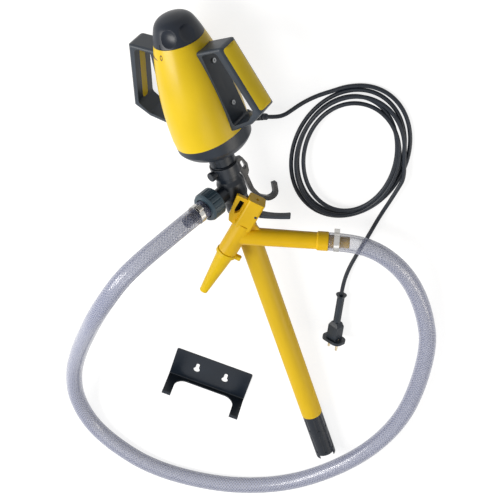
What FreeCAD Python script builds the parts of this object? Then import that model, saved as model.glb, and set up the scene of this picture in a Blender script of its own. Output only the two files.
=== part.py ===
import FreeCAD
import Part
import math
import os

# Electric drum pump set, laid down on a floor: a motor with two side handles on a
# pump tube, a clear delivery hose with its nozzle, the mains lead with its plug,
# and the steel bracket that holds the pump on a wall. Millimetres, +Z up.
#
# The pump is drawn standing in its own frame: +Z runs from the foot to the dial,
# z = 0 is the rim of the base and +X points along the right-hand handle. It is
# laid down at the end, resting on its base, the left handle and the foot.

# Motor casing
BELLY_R = 69.3           # widest radius, the band that the motor lies on
BELLY_LOW = 25.0
BELLY_TOP = 39.0
SHOULDER_R = 45.0        # where the dial sits
SHOULDER_Z = 202.0
WALL = 3.5
SEAM_Z = 20.0            # joint between housing and base, where it meets the axis
SEAM_LEAN = 8.5
SEAM_TURN = 45.0
BASE_R = 67.0
BASE_DEPTH = 25.0
BASE_FOOT_R = 26.0
BASE_BULGE = 6.0

# Speed dial
DIAL_LEAN = 15.0         # of its side, at the foot
DIAL_LINE = ((36.0, 26.5), (22.0, 40.0), (4.0, 43.9))  # radius and height of its dome
DIAL_WALL = 3.0
DIAL_HUB_R = 7.0
DIMPLE_LONG = 87.0       # radii of curvature of the finger dimples
DIMPLE_SHORT = 27.0
DIMPLE_DEPTH = 3.5
DIMPLE_Z = 17.0          # height of their middle above the shoulder
DIMPLE_TURNS = (-76.0, -25.0, 104.0, 155.0)
DIMPLE_TILT = 28.0
POINTER_TURN = -93.0
POINTER_W = 2.0
POINTER_H = 9.0
POINTER_DEPTH = 1.2
SPINDLE_R = 3.0

# Side handles
HANDLE_HALF = 21.5       # half the width
HANDLE_TOP = (97.0, 196.0)
HANDLE_LOW = (137.0, 71.0)
HANDLE_KNEE = (112.0, 50.0)
HANDLE_HEEL = (57.0, 29.0)
HANDLE_NECK = (38.0, 184.0)
PAD_TOP = (55.5, 181.0)  # corners of the finger opening
LOOP_TOP = (88.5, 188.5)
LOOP_LOW = (126.5, 77.0)
LOOP_KNEE = (109.0, 58.0)
PAD_LOW = (74.0, 44.5)
HANDLE_ROUND = 12.0
LOOP_ROUND = 8.0
HANDLE_EDGE = 5.0        # rounding of the side edges
CROWN = 8.0              # rise of the rounded outer face
CROWN_EDGE = 6.0
GRIP_HALF = 17.0
GRIP_DEPTH = 5.0
GRIP_START = 5.0
GRIP_LEN = 121.0
GRIP_ROUND = 5.0
TONGUE_HALF = 7.5
TONGUE_MARGIN = 6.0
SCREW_HEIGHTS = (79.0, 160.0)
SCREW_R = 2.0
SCREW_LEN = 14.0
SCREW_HEAD_R = 4.2
SCREW_HEAD_H = 2.4
RECESS_W = 1.2
RECESS_L = 4.6

# Cable entry
GLAND_TURN = 50.0
GLAND_Z = 17.0
GLAND_LEAN = 26.0        # the entry points down towards the foot
GLAND_R = 9.0
GLAND_END_R = 5.6
GLAND_LEN = 30.0
GLAND_COLLAR = 4.0
GLAND_COLLAR_R = 10.5
GLAND_SLEEVE_R = 6.6
GLAND_RIBS = 4
CORD_R = 3.8

# Joint between motor and pump
NECK_R = 21.0
SPIGOT_R = 17.0
SPIGOT_BORE = 12.5
SPIGOT_END = -76.0
SLEEVE_TOP = -30.0
SLEEVE_END = -50.0
SLEEVE_R = 22.0
SLEEVE_PAD = 1.8
SLEEVE_PAD_W = 13.0
SLEEVE_PADS = 6
RUN_FIT = 0.06           # radial clearance of turning fits
GAP = 0.3                # clearance between faces that move past each other
SEAT_FIT = 0.05          # radial clearance of fixed pieces in their holes

# Pump head
SOCKET_R = 22.0
SOCKET_TOP = -51.0
SOCKET_FLOOR = -79.0
SEAL_WEB = 6.0
TEE_Z = -104.0
TEE_R = 25.0
TEE_HALF = 13.0
TEE_SLOPE = 8.0
SLEEVE_WALL = 2.0
HEAD_END = -150.0
HEAD_STOP = -124.0       # the outer tube ends here inside the head
OUTLET_TURN = -101.0
OUTLET_R = 15.0
OUTLET_BORE = 11.0
THREAD_R = 20.5
THREAD_START = 44.0
OUTLET_END = 58.0

# Hose union
NUT_R = 27.0
NUT_START = 43.0
NUT_END = 71.0
NUT_WEB = 3.5
NUT_GRIPS = 18
NUT_GRIP_R = 2.6
NUT_GRIP_DEPTH = 0.9
WASHER_T = 2.0
TAIL_FLANGE_R = 19.0
TAIL_FLANGE_T = 3.0
TAIL_BORE = 9.5
TAIL_LEN = 50.0          # length inside the hose
NOZZLE_TAIL_LEN = 38.0
TAIL_BARBS = 3
BARB_PITCH = 6.0
BARB_H = 0.6
TAIL_NOSE_R = 10.3       # slimmer past the barbs, so that the hose can bend
HOSE_R = 16.5
HOSE_BORE = 12.5
EAR_W = 10.0             # ear clamps
EAR_T = 1.1
EAR_H = 6.0
EAR_HALF = 5.5
EAR_AT = 9.5             # from the end of the hose
EAR_AT_OUTLET = 16.0

# Hook clamp
CLAMP_R = 26.0
CLAMP_TOP = -52.0
CLAMP_END = -73.0
CLAMP_BOSS_R = 7.5
HOOK_TURN = 63.5
HOOK_W = 10.0
HOOK_T = 8.0
HOOK_LINE = ((30.5, -90.0), (33.5, -126.0), (43.0, -149.0), (60.5, -163.5), (75.5, -161.0), (79.0, -138.0))
HOOK_ROUNDS = (0.0, 24.0, 22.0, 16.0, 9.0, 0.0)
EYE_OUTLINE = ((24.0, -54.5), (35.0, -56.5), (41.0, -73.0), (39.5, -88.0), (34.5, -96.0), (26.5, -93.0), (24.0, -78.0))
EYE_HOLE_R = 3.4
EYE_TOP = (31.5, -66.0)
EYE_LOW = (33.0, -78.0)
SCREW_Z = -60.5
KNOB_R = 8.5
KNOB_START = 30.5
KNOB_T = 6.0
KNOB_SHANK = 4.0
KNOB_FLUTES = 8
KNOB_FLUTE_R = 1.6

# Immersion tube and drive shaft
TUBE_R = 20.5
TUBE_SEAT_R = 20.0       # turned down where it sits in the head
TUBE_WALL = 2.5
TUBE_END = -655.0
INNER_R = 8.5
INNER_BORE = 6.5
INNER_END = -690.0
SHAFT_R = 4.0
BUSH_L = 12.0
BUSH_Z = (-104.0, -290.0, -480.0, -676.0)

# Foot
COLLAR_END = -700.0
FOOT_END = -768.0
FOOT_STEP = 10.0         # height of the teeth of the suction end
FOOT_NOTCH = 27.0
FOOT_NOTCH_TURN = -45.0
FOOT_R = 20.0            # a little under the tube, so that a drum adapter slides on over it
FOOT_BORE = 15.5
FOOT_SPIGOT = 14.0
FOOT_FLUTES = 6
FLUTE_R = 9.0
FLUTE_DEPTH = 1.1
FLUTE_MARGIN = 7.0
VANE_T = 2.5
VANE_H = 14.0
IMPELLER_R = 14.0
IMPELLER_HUB = 6.0
IMPELLER_Z = -742.0
IMPELLER_H = 16.0
IMPELLER_BLADES = 4
IMPELLER_LEAN = 35.0

# Motor inside
FRAME_R = 41.0
FRAME_WALL = 3.0
FRAME_LOW = -10.0
FRAME_TOP = 150.0
FRAME_SLOTS = 6
FRAME_SLOT_R = 8.0
PLATE_T = 8.0
POST_R = 3.5
POST_INSET = 10.0        # posts in from the frame's inside
POST_TURN = 30.0
CORE_LOW = 62.0
CORE_TOP = 112.0
AIR_GAP = 0.5
CORE_SLOTS = 12
CORE_SLOT_W = 2.5
CORE_SLOT_D = 7.0
WINDING_OVER = 9.0
WINDING_INSET = 2.0      # armature coils below the core's rim
COIL_SIDE = 9.0          # thickness of the field coils
COIL_CLEAR = 1.0         # field coils out from the pole faces
YOKE = 4.0
POLE_BORE_R = FRAME_R - FRAME_WALL - YOKE - COIL_SIDE - COIL_CLEAR
CORE_R = POLE_BORE_R - AIR_GAP
POLE_ARC = 120.0
ROTOR_R = 5.0
BEARING_R = 11.0
BEARING_T = 8.0
RACE_T = 2.2
LOWER_BEARING_Z = -10.0
COMM_R = 13.0
COMM_LOW = 126.0
COMM_TOP = 138.0
COMM_BARS = 12
BRUSH_W = 7.0
BRUSH_H = 5.0
BRUSH_Z = 132.0
BRUSH_LEN = 14.0
HOLDER_T = 1.5
FAN_CLEAR = 3.0          # between the fan's tips and the frame
FAN_LOW = 22.0
FAN_H = 16.0
FAN_DISC = 2.5
FAN_BLADES = 9
FAN_BLADE_T = 1.6
FAN_LEAN = 35.0
DRIVER_R = 9.0
DRIVER_TOP = -36.0
DRIVER_MID = -50.0
DOG_H = 6.0
DRIVER_END = -72.0
DOG_ANGLE = 50.0
BOARD_R = 34.0
BOARD_T = 1.6
BOARD_Z = 176.0
SINK_X = 12.0            # heat sink on the board
SINK_W = 10.0
SINK_HALF = 15.0
POT_R = 8.0
POT_H = 9.0
POT_DEPTH = 6.0

# Dispensing nozzle, drawn with its handle along +X and its barrel through the origin
BARREL_TURN = -114.7     # direction of the spout from the handle
BARREL_R = 17.7
BARREL_REAR = 30.0
BARREL_FRONT = 37.0
BARREL_BORE = 12.0
HANDLE_TUBE_R = 16.5
HANDLE_TUBE_END_R = 15.5
HANDLE_BORE = 10.5
END_COLLAR_R = 17.5
END_COLLAR_START = 145.6
END_COLLAR_END = 164.6
TAIL_SEAT = 25.0         # depth of the hose tail in the handle
BLOCK_START = 24.0
BLOCK_END = 83.4
BLOCK_HALF = 15.6
BLOCK_ROUND = 5.0
EYE_PLATE = ((76.5, -12.0), (76.5, -36.5), (34.3, -32.2), (22.9, -27.1), (18.6, -12.0))
EYE_WINDOW = ((69.5, -27.5), (69.0, -17.9), (48.0, -17.9), (40.0, -23.5), (47.0, -27.5))
EYE_PLATE_T = 8.0
GUSSET = ((20.0, 10.0), (46.0, 10.0), (26.0, 34.0), (16.0, 34.0))
GUSSET_T = 7.0
SPOUT_START = 45.5
SPOUT_END = 136.0
SPOUT_R = 16.0
SPOUT_TIP_R = 7.6
SPOUT_WALL = 2.2
SPOUT_NECK_R = 13.5
SPOUT_NECK_START = 22.0
RING_R = 19.2
RING_T = 7.4
NUB_OUT = 29.0
NUB_W = 9.0
LEVER_PIN_P = 57.0       # the lever's pin, along and across the barrel
LEVER_PIN_M = 10.2
LEVER_PIN_R = 2.5
LEVER_BOSS_R = 5.0
LEVER_FINGER = 6.6       # how far its finger reaches in beside the stem
LEVER_FINGER_T = 4.0
LEVER_HALF = 3.0
LEVER_BLADE_HALF = 7.0
LEVER_ROOT = 4.6         # half the blade's depth at the pin
BLADE_LEN = 60.0
BLADE_TIP = 3.0
BLADE_HOLLOW = 0.5       # its finger side at half length
BLADE_BACK = -4.8
LEVER_SWING = 18.0
LEVER_SLOT = (43.0, 66.0)
STEM_R = 3.0
STEM_FRONT = -16.0
STEM_REAR = 80.0
VALVE_R = 9.0
VALVE_T = 5.0
STEM_COLLAR_R = 5.2
STEM_COLLAR_T = 3.0
SPRING_R = 5.5
SPRING_WIRE = 0.9
SPRING_TURNS = 4
CAP_WALL = 4.0

# Wall bracket
BRACKET_W = 160.0
BRACKET_PLATE = 70.0
BRACKET_ARM = 68.0
BRACKET_ARM_W = 18.0
BRACKET_WEB = 11.0
BRACKET_T = 2.5
BRACKET_LIP = 7.0
BRACKET_BEND = 2.0
BRACKET_ARCH_R = 22.0
KEY_SPACING = 60.0
KEY_R = 6.5
KEY_SLOT_R = 3.5
KEY_RISE = 13.0
KEY_FROM_FOLD = 33.0
PLATE_ROUND = 4.0

# Plug, drawn with its pins along +X
PLUG_COLLAR_R = 10.5
PLUG_COLLAR_T = 6.0
PLUG_NECK_R = 7.2
PLUG_NECK_END = 60.0
PLUG_BODY_END = 96.0
PLUG_SHOULDER = 8.0
PLUG_ROUND = 4.0
PLUG_BODY_HALF = 11.5
PLUG_BODY_THICK = 9.5
FLANGE_T = 6.0
FLANGE_HALF = 22.0
FLANGE_THICK = 16.0
PIN_R = 2.4
PIN_LEN = 19.0
PIN_SPACING = 19.0
PIN_SEAT = 8.0

# Where the loose things lie, measured from under the middle of the pump set
PUMP_X = 44.7
PUMP_Y = 260.9
NOZZLE_X = -5.9
NOZZLE_Y = -182.4
NOZZLE_TURN = -17.9
NOZZLE_ROLL = 8.0
BRACKET_X = -210.0
BRACKET_Y = -583.0
BRACKET_TURN = -32.3
PLUG_X = 123.7
PLUG_Y = -392.9
PLUG_TURN = -111.5
PLUG_ROLL = -55.0

# Routes, in the same measure. The two points at each end follow from the pieces.
HOSE_EXIT_RUN = 49.0
HOSE_ROUTE = (
    (-101.7, -122.7, 189.0), (-141.0, -138.6, 216.0), (-183.2, -161.8, 231.0), (-222.9, -194.4, 231.0),
    (-270.3, -240.4, 213.0), (-323.5, -300.7, 172.0), (-383.9, -376.3, 120.0), (-441.0, -462.9, 70.0),
    (-478.8, -553.0, 32.0), (-474.8, -634.5, 18.0), (-441.6, -697.0, 16.7), (-389.0, -756.8, 16.7),
    (-311.0, -803.7, 16.7), (-218.3, -834.9, 16.7), (-106.1, -839.4, 16.7), (-0.8, -810.4, 16.7),
    (93.8, -760.3, 16.7), (170.9, -692.5, 16.7), (222.6, -612.4, 16.7), (260.6, -520.8, 18.5),
    (271.3, -456.8, 24.0), (272.2, -396.8, 33.0), (262.5, -339.1, 46.0), (242.4, -294.5, 57.5),
    (217.0, -265.0, 64.0))
HOSE_NOZZLE_RUN = 36.0
LEAD_RUN = 16.0
LEAD_ROUTE = (
    (116.0, -4.6, 10.3), (131.5, -0.8, 6.6), (147.0, 5.6, 4.5), (164.0, 13.0, 3.9), (184.0, 20.3, 3.9))
TAIL_RUN = 26.0
TAIL_ROUTE = (
    (284.0, -188.0, 12.2), (262.0, -213.0, 9.5), (236.0, -240.0, 5.0), (200.0, -280.0, 3.9),
    (172.0, -314.0, 4.2), (150.0, -344.0, 6.5))

# Coil of the mains lead: loops that run in and out again in two layers
COIL_X = 208.5
COIL_Y = -104.0
COIL_A = 139.0           # half length of the outer loop
COIL_B = 106.5
COIL_AXIS = 64.0
COIL_FROM = 22.0         # where the cord enters, from the long axis
COIL_TURNS = 4.3
COIL_BAND = 25.0         # how far the loops spread inwards
COIL_LIFT = 8.2          # second layer above the first
FLOOR_GAP = 0.2          # the cord just clears the floor
ARCS_PER_TURN = 4

V = FreeCAD.Vector
UP = V(0, 0, 1)
ORIGIN = V(0, 0, 0)


def ring(outer, inner, low, high):
    """A tube standing on the axis."""
    body = Part.makeCylinder(outer, high - low, V(0, 0, low))
    if inner <= 0:
        return body
    return body.cut(Part.makeCylinder(inner, high - low + 2, V(0, 0, low - 1)))


def slab(low, high):
    """A box between two corners."""
    size = [high[i] - low[i] for i in range(3)]
    return Part.makeBox(size[0], size[1], size[2], V(*low))


def arc_end(start, towards, end):
    """An arc that leaves in a given direction and ends at a point."""
    chord = end.sub(start)
    turn = towards.getAngle(chord)
    side = towards.sub(chord * (towards.dot(chord) / chord.dot(chord)))
    if side.Length < 1e-9:
        return Part.makeLine(start, end)
    middle = start.add(chord * 0.5).add(side.normalize() * (chord.Length / 2 * math.tan(turn / 2)))
    return Part.Arc(start, middle, end).toShape()


def corner_arc(before, corner, after, radius):
    """Start and end of the arc that rounds one corner."""
    back = before.sub(corner).normalize()
    forth = after.sub(corner).normalize()
    reach = radius / math.tan(back.getAngle(forth) / 2)
    return corner.add(back * reach), corner.add(forth * reach)


def outline(corners, place, closed=True):
    """A wire through (u, v, radius) corners, each rounded by its radius."""
    points = [place(u, v) for u, v, _ in corners]
    count = len(points)
    spans = []
    for i, (_, _, radius) in enumerate(corners):
        if radius > 0:
            spans.append(corner_arc(points[i - 1], points[i], points[(i + 1) % count], radius))
        else:
            spans.append((points[i], points[i]))
    edges = []
    for i, (first, last) in enumerate(spans):
        if last.distanceToPoint(first) > 1e-6:
            edges.append(arc_end(first, points[i].sub(first), last))
        following = spans[(i + 1) % count][0]
        if (closed or i < count - 1) and last.distanceToPoint(following) > 1e-6:
            edges.append(Part.makeLine(last, following))
    return Part.Wire(edges)


def in_xz(u, v):
    return V(u, 0, v)


def in_xy(u, v):
    return V(u, v, 0)


def sharp(points, radius=0.0):
    """The same corner radius for every point of an outline."""
    return [(u, v, radius) for u, v in points]


def spun(corners):
    """A profile of (r, z, radius) corners turned about the axis."""
    return Part.Face(outline(corners, in_xz)).revolve(ORIGIN, UP, 360)


def plate_xz(corners, half):
    """An outline in the XZ plane, as thick as twice the half."""
    face = Part.Face(outline(corners, in_xz))
    face.translate(V(0, -half, 0))
    return face.extrude(V(0, 2 * half, 0))


def plate_xy(corners, half):
    """An outline in the XY plane, as thick as twice the half."""
    face = Part.Face(outline(corners, in_xy))
    face.translate(V(0, 0, -half))
    return face.extrude(V(0, 0, 2 * half))


def turned(shape, degrees, axis=UP):
    """The shape turned about an axis through the origin."""
    moved = shape.copy()
    moved.rotate(ORIGIN, axis, degrees)
    return moved


def shifted(shape, x, y, z):
    moved = shape.copy()
    moved.translate(V(x, y, z))
    return moved


def around(shape, count, start=0.0):
    """Copies of a shape, evenly spaced about the axis."""
    return [turned(shape, start + 360.0 * i / count) for i in range(count)]


def sector(radius, low, high, angle):
    """A slice of a cylinder, centred on +X."""
    slice_ = Part.makeCylinder(radius, high - low, V(0, 0, low), UP, angle)
    return turned(slice_, -angle / 2)


def along_x(shape):
    """A shape drawn about +Z, laid along +X."""
    return turned(shape, 90, V(0, 1, 0))


# Motor casing

def casing_r(z):
    """Outer radius of the housing between its belly and its shoulder."""
    rise = SHOULDER_Z - BELLY_TOP
    drop = BELLY_R - SHOULDER_R
    curve = (rise * rise + drop * drop) / (2 * drop)
    return BELLY_R - curve + math.sqrt(curve * curve - (z - BELLY_TOP) ** 2)


def casing_solid(inset):
    """The whole casing as one body of revolution, smaller by the inset."""
    top_z = SHOULDER_Z - inset
    top = V(casing_r(top_z) - inset, 0, top_z)
    belly = V(BELLY_R - inset, 0, BELLY_TOP)
    middle_z = (top_z + BELLY_TOP) / 2
    side = V(casing_r(middle_z) - inset, 0, middle_z)
    rim = V(BASE_R - inset, 0, 0)
    foot = V(BASE_FOOT_R, 0, inset - BASE_DEPTH)
    chord = foot.sub(rim)
    bulge = V(-chord.z, 0, chord.x).normalize() * BASE_BULGE
    bowl = rim.add(chord * 0.5).add(bulge)
    edges = [
        Part.makeLine(V(0, 0, top_z), top),
        Part.Arc(top, side, belly).toShape(),
        Part.makeLine(belly, V(BELLY_R - inset, 0, BELLY_LOW)),
        Part.makeLine(V(BELLY_R - inset, 0, BELLY_LOW), rim),
        Part.Arc(rim, bowl, foot).toShape(),
        Part.makeLine(foot, V(0, 0, foot.z)),
        Part.makeLine(V(0, 0, foot.z), V(0, 0, top_z)),
    ]
    return Part.Face(Part.Wire(edges)).revolve(ORIGIN, UP, 360)


def above_seam():
    """The space above the leaning joint of the casing."""
    reach = 2 * BELLY_R
    box = slab((-reach, -reach, 0), (reach, reach, 2 * SHOULDER_Z))
    box.rotate(ORIGIN, V(0, 1, 0), -SEAM_LEAN)
    box.rotate(ORIGIN, UP, SEAM_TURN)
    box.translate(V(0, 0, SEAM_Z))
    return box


def on_pad(shape, height):
    """A shape drawn about +X, set on a handle's pad at a height on the pump."""
    share = (height - PAD_LOW[1]) / (PAD_TOP[1] - PAD_LOW[1])
    x = PAD_LOW[0] + share * (PAD_TOP[0] - PAD_LOW[0])
    lean = math.degrees(math.atan2(PAD_LOW[0] - PAD_TOP[0], PAD_TOP[1] - PAD_LOW[1]))
    return shifted(turned(shape, -lean, V(0, 1, 0)), x, 0, height)


def screw_path():
    """The hole of a handle screw, about +X, its head's seat at the origin."""
    return along_x(ring(SCREW_R, 0, -SCREW_LEN - 1, SCREW_HEAD_H))


def gland_axis(shape):
    """A shape drawn about +Z, moved to the cable entry."""
    shape = turned(shape, 90 + GLAND_LEAN, V(0, 1, 0))
    shape = shifted(shape, BELLY_R - WALL, 0, GLAND_Z)
    return turned(shape, GLAND_TURN)


def motor_housing():
    shell = casing_solid(0).cut(casing_solid(WALL)).common(above_seam())
    holes = [ring(DIAL_HUB_R + RUN_FIT, 0, SHOULDER_Z - 2 * WALL, SHOULDER_Z + 1)]
    for side in (0, 180):
        for height in SCREW_HEIGHTS:
            holes.append(turned(on_pad(screw_path(), height), side))
    return shell.cut(holes)


def base_cover():
    shell = casing_solid(0).cut(casing_solid(WALL)).cut(above_seam())
    floor = WALL - BASE_DEPTH
    seat = spun(sharp([
        (SPIGOT_R, SPIGOT_END), (SPIGOT_R, SLEEVE_TOP + GAP), (NECK_R, SLEEVE_TOP + GAP),
        (NECK_R, floor), (BEARING_R + 4, floor), (BEARING_R + 4, LOWER_BEARING_Z + BEARING_T),
        (BEARING_R, LOWER_BEARING_Z + BEARING_T), (BEARING_R, LOWER_BEARING_Z),
        (SPIGOT_BORE - 4, LOWER_BEARING_Z), (SPIGOT_BORE - 4, floor), (SPIGOT_BORE, floor - 4),
        (SPIGOT_BORE, SPIGOT_END)]))
    frame_seat = ring(FRAME_R + 3, FRAME_R - FRAME_WALL, floor, FRAME_LOW)
    boss = gland_axis(ring(GLAND_R + 3, 0, -WALL, WALL)).cut(casing_solid(WALL))
    gland_room = ring(GLAND_SLEEVE_R + SEAT_FIT, 0, -4 * WALL, WALL).fuse(
        ring(GLAND_COLLAR_R + GAP, 0, WALL, WALL + GLAND_LEN))
    shell = shell.cut(ring(SPIGOT_BORE, 0, -BASE_DEPTH - 1, floor + 1))
    shell = shell.fuse([seat, frame_seat.common(casing_solid(0)), boss])
    return shell.cut(gland_axis(gland_room)).removeSplitter()


# Speed dial

def speed_dial():
    low = SHOULDER_Z + GAP
    here = V(SHOULDER_R, 0, low)
    towards = V(-math.sin(math.radians(DIAL_LEAN)), 0, math.cos(math.radians(DIAL_LEAN)))
    edges = [Part.makeLine(V(0, 0, low), here)]
    for radius, height in DIAL_LINE:
        there = V(radius, 0, SHOULDER_Z + height)
        edges.append(arc_end(here, towards, there))
        chord = there.sub(here).normalize()
        towards = chord * (2 * chord.dot(towards)) - towards
        here = there
    crest = V(0, 0, here.z)
    edges += [Part.makeLine(here, crest), Part.makeLine(crest, V(0, 0, low))]
    dome = Part.Face(Part.Wire(edges)).revolve(ORIGIN, UP, 360)
    inner = DIAL_WALL + DIMPLE_DEPTH
    edge_r, edge_h = DIAL_LINE[0]
    hollow = spun(sharp([
        (DIAL_HUB_R, low - 1), (SHOULDER_R - inner, low - 1), (SHOULDER_R - inner, low + edge_h / 3),
        (edge_r - inner, SHOULDER_Z + edge_h - DIAL_WALL), (DIAL_HUB_R, SHOULDER_Z + DIAL_LINE[1][1] - inner)]))
    side_r = SHOULDER_R + (edge_r - SHOULDER_R) * DIMPLE_Z / edge_h - DIMPLE_DEPTH
    middle = SHOULDER_Z + DIMPLE_Z
    cutter = Part.makeTorus(DIMPLE_LONG - DIMPLE_SHORT, DIMPLE_SHORT, ORIGIN, V(0, 1, 0))
    cutter = turned(shifted(cutter, DIMPLE_LONG, 0, 0), -DIMPLE_TILT, V(0, 1, 0))
    cutter = shifted(cutter, side_r, 0, middle)
    pointer = slab((SHOULDER_R - POINTER_DEPTH - 0.6, -POINTER_W / 2, low - 1),
                   (SHOULDER_R + 1, POINTER_W / 2, low + POINTER_H))
    dome = dome.cut(hollow).cut([turned(cutter, turn) for turn in DIMPLE_TURNS])
    hub = ring(DIAL_HUB_R, SPINDLE_R, SHOULDER_Z - WALL, low + 1)
    bore = ring(SPINDLE_R, 0, low - 1, SHOULDER_Z + DIAL_LINE[0][1] / 2)
    return dome.cut([turned(pointer, POINTER_TURN), bore]).fuse(hub).removeSplitter()


def dial_spindle():
    return ring(SPINDLE_R, 0, BOARD_Z + BOARD_T + POT_H - POT_DEPTH, SHOULDER_Z + DIAL_LINE[0][1] / 2)


# Side handles

def bar_frame():
    """Start, length direction and outward direction of a handle's outer bar."""
    start = V(HANDLE_TOP[0], 0, HANDLE_TOP[1])
    down = V(HANDLE_LOW[0], 0, HANDLE_LOW[1]).sub(start).normalize()
    return start, down, V(-down.z, 0, down.x)


def bar_prism(profile, first, length):
    """A profile of (outward, across) points, drawn out along the bar."""
    start, down, outward = bar_frame()
    origin = start.add(down * first)
    face = Part.Face(profile(lambda u, v: origin.add(outward * u).add(V(0, v, 0))))
    return face.extrude(down * length)


def crown_profile(place):
    """Section of the outer bar: a shallow arc with a rounding at each side."""
    back = -2 * HANDLE_LOW[0]
    half = HANDLE_HALF
    curve = (half ** 2 + CROWN ** 2) / (2 * CROWN)
    rise = math.sqrt((curve - CROWN_EDGE) ** 2 - (half - CROWN_EDGE) ** 2)
    side_u = CROWN - curve + rise
    share = curve / (curve - CROWN_EDGE)
    top_u = CROWN - curve + rise * share
    top_v = (half - CROWN_EDGE) * share
    outward = place(1, 0).sub(place(0, 0))
    return Part.Wire([
        Part.makeLine(place(back, -half), place(side_u, -half)),
        arc_end(place(side_u, -half), outward, place(top_u, -top_v)),
        Part.Arc(place(top_u, -top_v), place(CROWN, 0), place(top_u, top_v)).toShape(),
        arc_end(place(side_u, half), outward, place(top_u, top_v)),
        Part.makeLine(place(side_u, half), place(back, half)),
        Part.makeLine(place(back, half), place(back, -half)),
    ])


def meet(p, q, start, direction):
    """Where the line from p to q meets a line through start."""
    px, pz = p
    dx, dz = q[0] - px, q[1] - pz
    det = dx * direction.z - dz * direction.x
    share = ((start.x - px) * direction.z - (start.z - pz) * direction.x) / det
    return px + share * dx, pz + share * dz


def grip_space(half, first, length, floor, corner):
    """The room of the grip insert: a rounded plate laid along the bar."""
    start, down, outward = bar_frame()
    origin = start.add(outward * floor)
    place = lambda u, v: origin.add(down * u).add(V(0, v, 0))
    corners = sharp([(first, -half), (first + length, -half), (first + length, half), (first, half)], corner)
    return Part.Face(outline(corners, place)).extrude(outward * (2 * CROWN - floor))


def handle_solid():
    """Handle and insert together, on the +X side."""
    start, down, outward = bar_frame()
    raised = start.add(outward * CROWN)
    top = meet(HANDLE_NECK, HANDLE_TOP, raised, down)
    low = meet(HANDLE_KNEE, HANDLE_LOW, raised, down)
    body = plate_xz([
        HANDLE_NECK + (0,), top + (HANDLE_ROUND,), low + (HANDLE_ROUND,),
        HANDLE_KNEE + (HANDLE_ROUND,), HANDLE_HEEL + (0,)], HANDLE_HALF)
    side = [edge for edge in body.Edges
            if edge.BoundBox.YLength < GAP and edge.BoundBox.XMax > HANDLE_HEEL[0] + 1]
    body = body.makeFillet(HANDLE_EDGE, side)
    body = body.common(bar_prism(crown_profile, -HANDLE_LOW[0], 3 * HANDLE_LOW[0]))
    loop = plate_xz([
        PAD_TOP + (LOOP_ROUND / 2,), LOOP_TOP + (LOOP_ROUND,), LOOP_LOW + (LOOP_ROUND,),
        LOOP_KNEE + (LOOP_ROUND,), PAD_LOW + (LOOP_ROUND / 2,)], HANDLE_HALF + 1)
    return body.cut([loop, casing_solid(0)])


def grip_room():
    pocket = grip_space(GRIP_HALF, GRIP_START, GRIP_LEN, -GRIP_DEPTH + CROWN / 2, GRIP_ROUND)
    tongue = grip_space(
        TONGUE_HALF, GRIP_START + TONGUE_MARGIN, GRIP_LEN - 2 * TONGUE_MARGIN, -2 * CROWN, TONGUE_HALF - 1)
    return pocket.fuse(tongue)


def handle(side):
    body = handle_solid().cut(grip_room())
    body = body.cut([on_pad(screw_path(), height) for height in SCREW_HEIGHTS])
    return turned(body, side)


def grip_insert(side):
    return turned(handle_solid().common(grip_room()), side)


def handle_screws():
    screw = ring(SCREW_R, 0, -SCREW_LEN, 0).fuse(ring(SCREW_HEAD_R, 0, 0, SCREW_HEAD_H))
    for turn in (0, 90):
        recess = slab((-RECESS_L / 2, -RECESS_W / 2, SCREW_HEAD_H / 2),
                      (RECESS_L / 2, RECESS_W / 2, SCREW_HEAD_H + 1))
        screw = screw.cut(turned(recess, turn))
    screw = along_x(screw)
    return [turned(on_pad(screw, height), side) for side in (0, 180) for height in SCREW_HEIGHTS]


def cable_gland():
    """Ribbed bend protector, its foot inside the base's boss."""
    top = WALL + GLAND_COLLAR
    body = spun(sharp([
        (CORD_R, -2 * WALL), (GLAND_SLEEVE_R, -2 * WALL), (GLAND_SLEEVE_R, WALL), (GLAND_COLLAR_R, WALL),
        (GLAND_COLLAR_R, top), (GLAND_R, top), (GLAND_END_R, top + GLAND_LEN), (CORD_R, top + GLAND_LEN)]))
    pitch = GLAND_LEN / (GLAND_RIBS + 1)
    grooves = []
    for i in range(GLAND_RIBS):
        low = top + pitch * (i + 0.8)
        grooves.append(ring(GLAND_R + 2, GLAND_END_R - 0.4, low, low + pitch / 3))
    return gland_axis(body.cut(grooves))


# Locking collar, hook clamp and its screw

def coupling_collar():
    body = spun([
        (SPIGOT_R + RUN_FIT, SLEEVE_TOP, 0), (SLEEVE_R, SLEEVE_TOP, 2), (SLEEVE_R, SLEEVE_END, 2),
        (SPIGOT_R + RUN_FIT, SLEEVE_END, 0)])
    reach = SLEEVE_R + SLEEVE_PAD
    pad = slab((SPIGOT_R + 1, -SLEEVE_PAD_W / 2, SLEEVE_END + 2), (reach, SLEEVE_PAD_W / 2, SLEEVE_TOP - 2))
    pad = pad.common(ring(reach, 0, SLEEVE_END, SLEEVE_TOP))
    return body.fuse(around(pad, SLEEVE_PADS, OUTLET_TURN)).removeSplitter()


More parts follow.
